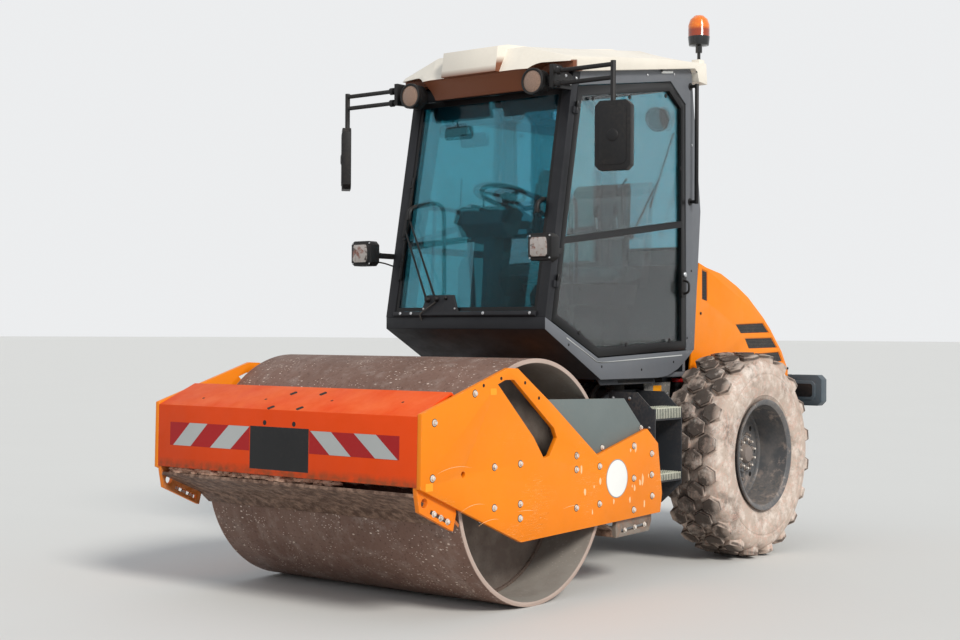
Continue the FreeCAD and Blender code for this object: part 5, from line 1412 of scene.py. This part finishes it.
def make_chassis_details():
    build = Build()
    for name, side in SIDES:
        face = 0.420
        stood = 0.462
        span = sorted((stood * side, (stood + 0.008) * side))
        build.prism("Y", [(-0.268, 1.036), (-0.552, 1.040), (-0.535, 0.915), (-0.268, 0.915)], *span, "speckled")
        span = sorted(((stood + 0.007) * side, (stood + 0.0095) * side))
        build.prism("Y", at(rounded(0.090, 0.042, 0.004), -0.404, 1.000), *span, "label")
        for x, z in ((-0.520, 0.970), (-0.300, 0.970), (-0.300, 0.935), (-0.518, 0.935)):
            build.bolt((x, (stood + 0.008) * side, z), (0, side, 0), 0.009, "steel")
            build.tube([(x, (face - 0.002) * side, z), (x, (stood + 0.002) * side, z)], 0.008, "steel", 10)
        # A lip, with a dark strip below the sill that is painted shadow under the tub
        span = sorted((0.515 * side, 0.523 * side))
        build.prism("Y", [(0.300, 1.072), (-0.285, 1.072), (-0.300, 1.038), (0.270, 1.038)], *span, "chassis")
        span = sorted((0.522 * side, 0.5236 * side))
        build.prism("Y", [(0.099, 1.062), (-0.270, 1.062), (-0.280, 1.046), (0.093, 1.046)], *span, "dark")
        for x in (-0.95, -1.80):
            for z in (0.62, 0.72, 0.82):
                if x == -0.95 and z > 0.7:
                    continue
                build.bolt((x, face * side, z), (0, side, 0), 0.013, "steel")
        # Filler neck and its cap, behind the step
        neck = (-0.640, 0.462 * side, 0.999)
        build.turned((0, 0, 1), neck, [(-0.002, 0), (-0.002, 0.030), (0.040, 0.030), (0.040, 0)], "black", 28)
        build.turned((0, 0, 1), neck, [(0.038, 0), (0.038, 0.036), (0.058, 0.034), (0.062, 0.026), (0.062, 0)],
                     "red", 28)
    build.piece("chassis_fittings", "rear_frame", 0.0008)


make_chassis_details()


def make_rear_details():
    low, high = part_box("rear_lamp_housings")
    build = Build()
    for name, side in SIDES:
        centre = 0.5475 * side
        for z, wide, tall, key in ((1.005, 0.150, 0.048, "red_lens"), (0.948, 0.150, 0.044, "amber_lens"),
                                   (0.893, 0.150, 0.042, "clear_lens")):
            build.prism("X", at(rounded(wide, tall, 0.008), centre, z), low.x - 0.00002, low.x + 0.004, key)
        for u, v in ((-0.095, 0.07), (0.095, 0.07), (-0.095, -0.07), (0.095, -0.07)):
            build.turned((-1, 0, 0), (low.x, centre + u, 0.9525 + v), [(-0.004, 0), (-0.004, 0.007), (0.00005, 0.007),
                                                                      (0.00005, 0)], "steel", 12)
        build.prism("X", at(rounded(0.128, 0.088, 0.018), centre, 0.9525), high.x - 0.002, high.x + 0.0006, "black")
        # Lashing eye with a pale rim
        build.turned((0, side, 0), (-1.910, 0.420 * side, 0.700), [(0.0, 0.0205), (0.0, 0.034), (0.010, 0.032),
                                                                  (0.010, 0.0205)], "steel", 32)
    # Towing eye on the weight's rear, within its outline
    build.turned((0, 1, 0), (-2.190, 0, 0.66), [(-0.014, 0.012), (-0.014, 0.025), (0.014, 0.025), (0.014, 0.012)],
                 "black", 28)
    build.piece("rear_fittings", "rear_frame", 0.0006)


make_rear_details()


# Seat: sprung base with a bellows, pan, arm rests and two cushions

def cushion(name, centre, size, crown, lean, key="fabric"):
    """A crowned pad. Its sides pull in between the corners, and two sewn channels run across it."""
    long, wide, thick = size
    steps = 26
    mesh = bmesh.new()
    rows = []
    for layer, sign in (("top", 1), ("bottom", -1)):
        grid = []
        for i in range(steps + 1):
            row = []
            for j in range(steps + 1):
                u = -1 + 2 * i / steps
                v = -1 + 2 * j / steps
                pull = 1 - 0.035 * (1 - v * v) * abs(u) ** 3
                pinch = 1 - 0.035 * (1 - u * u) * abs(v) ** 3
                rim = (max(0.0, 1 - abs(u) ** 5) * max(0.0, 1 - abs(v) ** 5)) ** 0.45
                height = thick * 0.5 * rim
                if sign > 0:
                    bolster = max(0.0, (abs(v) - 0.62) / 0.38)
                    height += crown * (1 - u * u) * (1 - v * v) + 0.016 * math.sin(math.pi * min(1, bolster)) * rim
                    for seam in (-0.30, 0.34):
                        height -= 0.009 * math.exp(-((u - seam) / 0.035) ** 2) * (1 if abs(v) < 0.62 else 0.0)
                    height -= 0.008 * math.exp(-((abs(v) - 0.62) / 0.03) ** 2)
                row.append(mesh.verts.new((u * long * 0.5 * pull, v * wide * 0.5 * pinch, height * sign)))
            grid.append(row)
        rows.append(grid)
    for grid, flip in ((rows[0], False), (rows[1], True)):
        for i in range(steps):
            for j in range(steps):
                corners = [grid[i][j], grid[i + 1][j], grid[i + 1][j + 1], grid[i][j + 1]]
                mesh.faces.new(reversed(corners) if flip else corners)
    bmesh.ops.remove_doubles(mesh, verts=mesh.verts, dist=0.0004)
    bmesh.ops.recalc_face_normals(mesh, faces=mesh.faces)
    turn = Matrix.Translation(Vector(centre)) @ Matrix.Rotation(math.radians(lean), 4, "Y")
    bmesh.ops.transform(mesh, matrix=turn, verts=mesh.verts)
    data = bpy.data.meshes.new(name)
    mesh.to_mesh(data)
    mesh.free()
    for face in data.polygons:
        face.use_smooth = True
    data.materials.append(MATERIALS[key])
    thing = bpy.data.objects.new(name, data)
    bpy.context.scene.collection.objects.link(thing)
    finer = thing.modifiers.new("finer", "SUBSURF")
    finer.levels = 1
    finer.render_levels = 1
    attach(thing, "rear_frame")
    return thing


def make_seat():
    build = Build()
    build.block((-0.380, -0.170, 1.100), (0.000, 0.170, 1.130), "black")
    ring = []
    for step in range(9):
        z = 1.130 + step * 0.045
        wide = 0.155 if step % 2 else 0.140
        ring.append((z, wide))
    for (z0, w0), (z1, w1) in zip(ring, ring[1:]):
        near = [(x - 0.18, y, z0) for x, y in rounded(w0 * 2.1, w0 * 2, 0.03)]
        far = [(x - 0.18, y, z1) for x, y in rounded(w1 * 2.1, w1 * 2, 0.03)]
        build.extruded(near, far, "rubber")
    near = [(x - 0.17, y, 1.490) for x, y in rounded(0.40, 0.34, 0.03)]
    far = [(x - 0.17, y, 1.610) for x, y in rounded(0.44, 0.42, 0.05)]
    build.extruded(near, far, "black")
    shell = [(-0.470, 1.600), (-0.400, 1.590), (-0.400, 1.690), (-0.490, 2.200), (-0.530, 2.235), (-0.540, 2.190),
             (-0.520, 1.800)]
    build.prism("Y", shell, -0.195, 0.195, "black")
    for side in (1, -1):
        low, high = sorted((0.205 * side, 0.238 * side))
        build.prism("Y", at(rounded(0.30, 0.050, 0.022, 5), -0.25, 1.905), low, high, "black")
        build.prism("Y", at(rounded(0.035, 0.16, 0.012), -0.440, 1.84), low, high, "black")
        build.tube(arc([(-0.05, 0.16 * side, 1.575), (-0.02, 0.205 * side, 1.575), (0.03, 0.215 * side, 1.580)], 0.02),
                   0.007, "black", 8)
    knob = Vector((-0.135, 0.2215, 1.930))
    build.tube([knob, knob + Vector((0.012, 0, 0.075))], 0.006, "steel", 8)
    build.turned((0.15, 0, 1), knob + Vector((0.012, 0, 0.075)), [(-0.01, 0), (0, 0.012), (0.02, 0.020), (0.045, 0.021),
                                                                 (0.06, 0.014), (0.064, 0)], "black", 20)
    build.piece("seat_base", "rear_frame", 0.004, 2, ["seat"])
    cushion("seat_cushion", (-0.172, 0, 1.662), (0.450, 0.470, 0.085), 0.010, 2)
    cushion("seat_back_cushion", (-0.447, 0, 1.925), (0.480, 0.440, 0.070), 0.008, 81)


make_seat()


# Steering wheel, column, panel, pedals, hand rails, floor mat

def make_controls():
    wheel = Build()
    lean = math.radians(20)
    normal = Vector((-math.sin(lean), 0, math.cos(lean)))
    centre = Vector((0.420, 0, 2.090))
    rim = [(math.sin(math.radians(30 * step)) * 0.0138, 0.158 + math.cos(math.radians(30 * step)) * 0.0138)
           for step in range(12)]
    wheel.turned(normal, centre, rim, "black", 72)
    wheel.turned(normal, centre, [(-0.112, 0), (-0.112, 0.030), (-0.03, 0.034), (-0.008, 0.046), (0.010, 0.044),
                                  (0.016, 0.030), (0.016, 0)], "black", 36)
    ahead = Vector((math.cos(lean), 0, math.sin(lean)))
    for step in range(3):
        turn = math.radians(60 + 120 * step)
        reach = ahead * math.cos(turn) + Vector((0, 1, 0)) * math.sin(turn)
        across = normal.cross(reach).normalized()
        corners = [centre + reach * 0.03 - across * 0.018, centre + reach * 0.03 + across * 0.018,
                   centre + reach * 0.156 + across * 0.012, centre + reach * 0.156 - across * 0.012]
        wheel.slab([corner - normal * 0.004 for corner in corners], normal * 0.009, "black")
    grip = centre + Vector((0, 1, 0)) * -0.10 + ahead * -0.122
    wheel.turned(normal, grip, [(0.008, 0), (0.008, 0.012), (0.030, 0.016), (0.050, 0.019), (0.060, 0.012),
                                (0.063, 0)], "black", 24)
    wheel.piece("smooth_steering_wheel", "rear_frame", 0.001, 2, ["steering_wheel"])
    build = Build()
    # Instrument panel: screen, keys and switches on the binnacle's slope
    slope = Vector((0.0, 0, 0))
    for y, size in ((-0.095, 0.030), (0.095, 0.030)):
        build.turned((-0.30, 0, 0.954), (0.600, y, 2.024), [(-0.004, 0), (-0.004, size), (0.004, size),
                                                            (0.006, size * 0.86), (0.002, size * 0.8), (0.002, 0)],
                     "black", 32)
    for y in (-0.045, -0.015, 0.015, 0.045):
        build.prism("Z", at(rounded(0.022, 0.016, 0.003), 0.635, y), 2.008, 2.018, "black")
    # Smooth dashboard cap over the column
    cap = [(0.700, 1.930), (0.672, 2.008), (0.640, 2.022), (0.600, 2.030), (0.592, 2.022), (0.604, 1.985),
           (0.660, 1.925)]
    build.prism("Y", cap, -0.172, -0.160, "black")
    build.prism("Y", cap, 0.160, 0.172, "black")
    # Pedals on the sloping floor
    for y in (-0.20, 0.20):
        build.slab([(0.530, y - 0.05, 1.300), (0.530, y + 0.05, 1.300), (0.640, y + 0.05, 1.420),
                    (0.640, y - 0.05, 1.420)], (-0.012, 0, 0.011), "rubber")
        for step in range(5):
            x = 0.545 + step * 0.022
            z = 1.316 + step * 0.024
            build.slab([(x, y - 0.045, z), (x, y + 0.045, z), (x + 0.008, y + 0.045, z + 0.0087),
                        (x + 0.008, y - 0.045, z + 0.0087)], (-0.016, 0, 0.0147), "rubber")
        build.tube([(0.600, y, 1.355), (0.630, y, 1.330)], 0.010, "black", 8)
    # Hand rails along both sides
    for side in (1, -1):
        y = 0.448 * side
        build.tube(arc([(0.765, y, 1.960), (0.760, y, 2.026), (0.517, y, 2.074), (0.456, y, 2.040),
                        (0.450, y, 1.600), (0.470, y, 1.205)], 0.06, 6), 0.0125, "black", 12)
    # Floor mat with ribs
    build.block((-0.600, -0.490, 1.0995), (0.290, 0.490, 1.106), "rubber")
    for step in range(30):
        y = -0.46 + step * 0.92 / 29
        build.block((-0.590, y - 0.006, 1.105), (0.280, y + 0.006, 1.109), "rubber")
    # Side console right of the seat, with keys and levers
    build.prism("Y", [(-0.45, 1.106), (0.060, 1.106), (0.080, 1.66), (0.040, 1.72), (-0.42, 1.76), (-0.45, 1.70)],
                -0.465, -0.290, "console")
    for step in range(5):
        build.block((-0.36 + step * 0.07, -0.42, 1.735 - step * 0.006), (-0.32 + step * 0.07, -0.39,
                                                                       1.762 - step * 0.006), "black")
    build.tube([(-0.05, -0.36, 1.72), (-0.035, -0.36, 1.83)], 0.007, "steel", 8)
    build.turned((0.13, 0, 1), (-0.035, -0.36, 1.83), [(-0.01, 0), (0, 0.013), (0.03, 0.022), (0.06, 0.020),
                                                       (0.072, 0)], "black", 20)
    build.piece("cab_controls", "rear_frame", 0.0012)


make_controls()


# Engine, seen when the hood is up

def make_engine_details():
    low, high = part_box("engine_block")
    build = Build()
    top = high.z
    middle = (low.x + high.x) / 2
    build.prism("X", at(rounded(0.30, 0.11, 0.03), 0, top + 0.04), low.x + 0.10, high.x - 0.12, "black")
    for step in range(4):
        x = low.x + 0.18 + step * (high.x - low.x - 0.34) / 3
        build.turned((0, 0, 1), (x, 0, top + 0.09), [(0, 0), (0, 0.030), (0.018, 0.028), (0.018, 0)], "steel", 24)
        build.tube(arc([(x, 0.10, top + 0.03), (x, high.y + 0.03, top + 0.03), (x, high.y + 0.035, top - 0.06)],
                       0.04), 0.024, "steel", 12)
    build.tube(arc([(low.x + 0.12, high.y + 0.035, top - 0.08), (high.x - 0.14, high.y + 0.035, top - 0.08)], 0.02),
               0.032, "steel", 14)
    for z, radius in ((top - 0.10, 0.07), (top - 0.27, 0.09)):
        build.turned((-1, 0, 0), (low.x, 0, z), [(-0.002, 0), (-0.002, radius * 0.4), (0.02, radius * 0.4),
                                                 (0.02, radius), (0.028, radius * 0.86), (0.036, radius),
                                                 (0.044, radius), (0.044, 0)], "steel", 36)
    build.turned((-1, 0, 0), (low.x - 0.044, 0, top - 0.10), [(-0.002, 0), (-0.002, 0.040), (0.03, 0.034), (0.03, 0)],
                 "black", 24)
    for blade in range(7):
        turn = 2 * math.pi * blade / 7
        outer = Vector((0, math.cos(turn), math.sin(turn)))
        wide = Vector((0.012, 0, 0)) + outer.cross(Vector((1, 0, 0))) * 0.028
        root = Vector((low.x - 0.062, 0, top - 0.10)) + outer * 0.03
        tip = Vector((low.x - 0.062, 0, top - 0.10)) + outer * 0.125
        build.slab([root - wide * 0.6, root + wide * 0.6, tip + wide, tip - wide], (-0.003, 0, 0), "black")
    build.turned((0, 0, 1), (high.x - 0.20, low.y - 0.03, top - 0.20), [(0, 0), (0, 0.045), (0.11, 0.045), (0.12, 0.03),
                                                                      (0.12, 0)], "orange", 28)
    for step in range(9):
        x = low.x + 0.06 + step * (high.x - low.x - 0.12) / 8
        for y in (low.y, high.y):
            build.bolt((x, y, low.z + 0.10), (0, 1 if y > 0 else -1, 0), 0.010, "steel")
    build.piece("engine_details", "rear_frame", 0.002)


make_engine_details()


# Steering cylinder and hinge: gland, ports, grease nipples; short fixed pipes between valve and bulkhead

def make_hydraulic_details():
    low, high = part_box("cylinder_barrel")
    y = 0.235
    z = 0.600
    front = high.x
    build = Build()
    build.turned((1, 0, 0), (front, y, z), [(-0.035, 0.0445), (-0.035, 0.049), (-0.002, 0.049), (0.0, 0.046),
                                            (0.0, 0.0445)], "steel", 32)
    for x in (front - 0.06, low.x + 0.13):
        build.turned((0, 0, 1), (x, y, z + 0.042), [(0, 0), (0, 0.016), (0.014, 0.016), (0.014, 0)], "steel", 16)
    build.piece("cylinder_fittings", "cylinder_barrel", 0.0008)
    pipes = Build()
    bulkhead = -0.070
    for place, key in ((0.210, "hose"), (0.255, "rubber"), (0.300, "hose")):
        for side in (1, -1):
            y = place * side
            pipes.tube(arc([(bulkhead - 0.002, y, 0.820), (0.000, y, 0.830), (0.020, y, 0.960), (-0.030, y, 1.028),
                            (-0.36, y, 1.030)], 0.05), 0.013, key, 12)
            pipes.turned((1, 0, 0), (bulkhead, y, 0.820), [(-0.004, 0), (-0.004, 0.021), (0.018, 0.021), (0.018, 0)],
                         "steel", 6)
    pipes.piece("fixed_pipes", "rear_frame", 0)


make_hydraulic_details()


# Stage: a pale floor and plain soft light

FLOOR_COLOUR = (214, 213, 209)
BACKDROP = (0.84, 0.85, 0.86, 1.0)
SKY_LIGHT = (0.86, 0.92, 1.0, 1.0)


def make_stage():
    floor_mesh = bpy.data.meshes.new("floor")
    reach = 400
    floor_mesh.from_pydata([(-reach, -reach, 0), (reach, -reach, 0), (reach, reach, 0), (-reach, reach, 0)],
                           [], [(0, 1, 2, 3)])
    floor = bpy.data.objects.new("floor", floor_mesh)
    bpy.context.scene.collection.objects.link(floor)
    finish = Finish("floor", FLOOR_COLOUR, 0.85)
    finish.over(finish.both(finish.noise(0.6, 4, 0.6), 0.15), (196, 194, 190))
    floor_mesh.materials.append(finish.material)
    sun = bpy.data.lights.new("key", "SUN")
    sun.energy = 2.6
    sun.angle = math.radians(16)
    sun.color = (1.0, 0.97, 0.92)
    lamp = bpy.data.objects.new("key", sun)
    toward = Vector((-0.30, -0.80, -0.62))
    lamp.rotation_euler = toward.to_track_quat("-Z", "Y").to_euler()
    bpy.context.scene.collection.objects.link(lamp)
    world = bpy.data.worlds.new("studio")
    world.use_nodes = True
    tree = world.node_tree
    light = tree.nodes["Background"]
    light.inputs["Color"].default_value = SKY_LIGHT
    light.inputs["Strength"].default_value = 0.62
    seen = tree.nodes.new("ShaderNodeBackground")
    seen.inputs["Color"].default_value = BACKDROP
    path = tree.nodes.new("ShaderNodeLightPath")
    mix = tree.nodes.new("ShaderNodeMixShader")
    shown = path.outputs["Is Camera Ray"]
    for kind in ("Is Glossy Ray", "Is Transmission Ray"):
        either = tree.nodes.new("ShaderNodeMath")
        either.operation = "MAXIMUM"
        tree.links.new(shown, either.inputs[0])
        tree.links.new(path.outputs[kind], either.inputs[1])
        shown = either.outputs[0]
    tree.links.new(shown, mix.inputs[0])
    tree.links.new(light.outputs[0], mix.inputs[1])
    tree.links.new(seen.outputs[0], mix.inputs[2])
    tree.links.new(mix.outputs[0], tree.nodes["World Output"].inputs["Surface"])
    bpy.context.scene.world = world
    bpy.context.scene.view_settings.view_transform = "Standard"


make_stage()
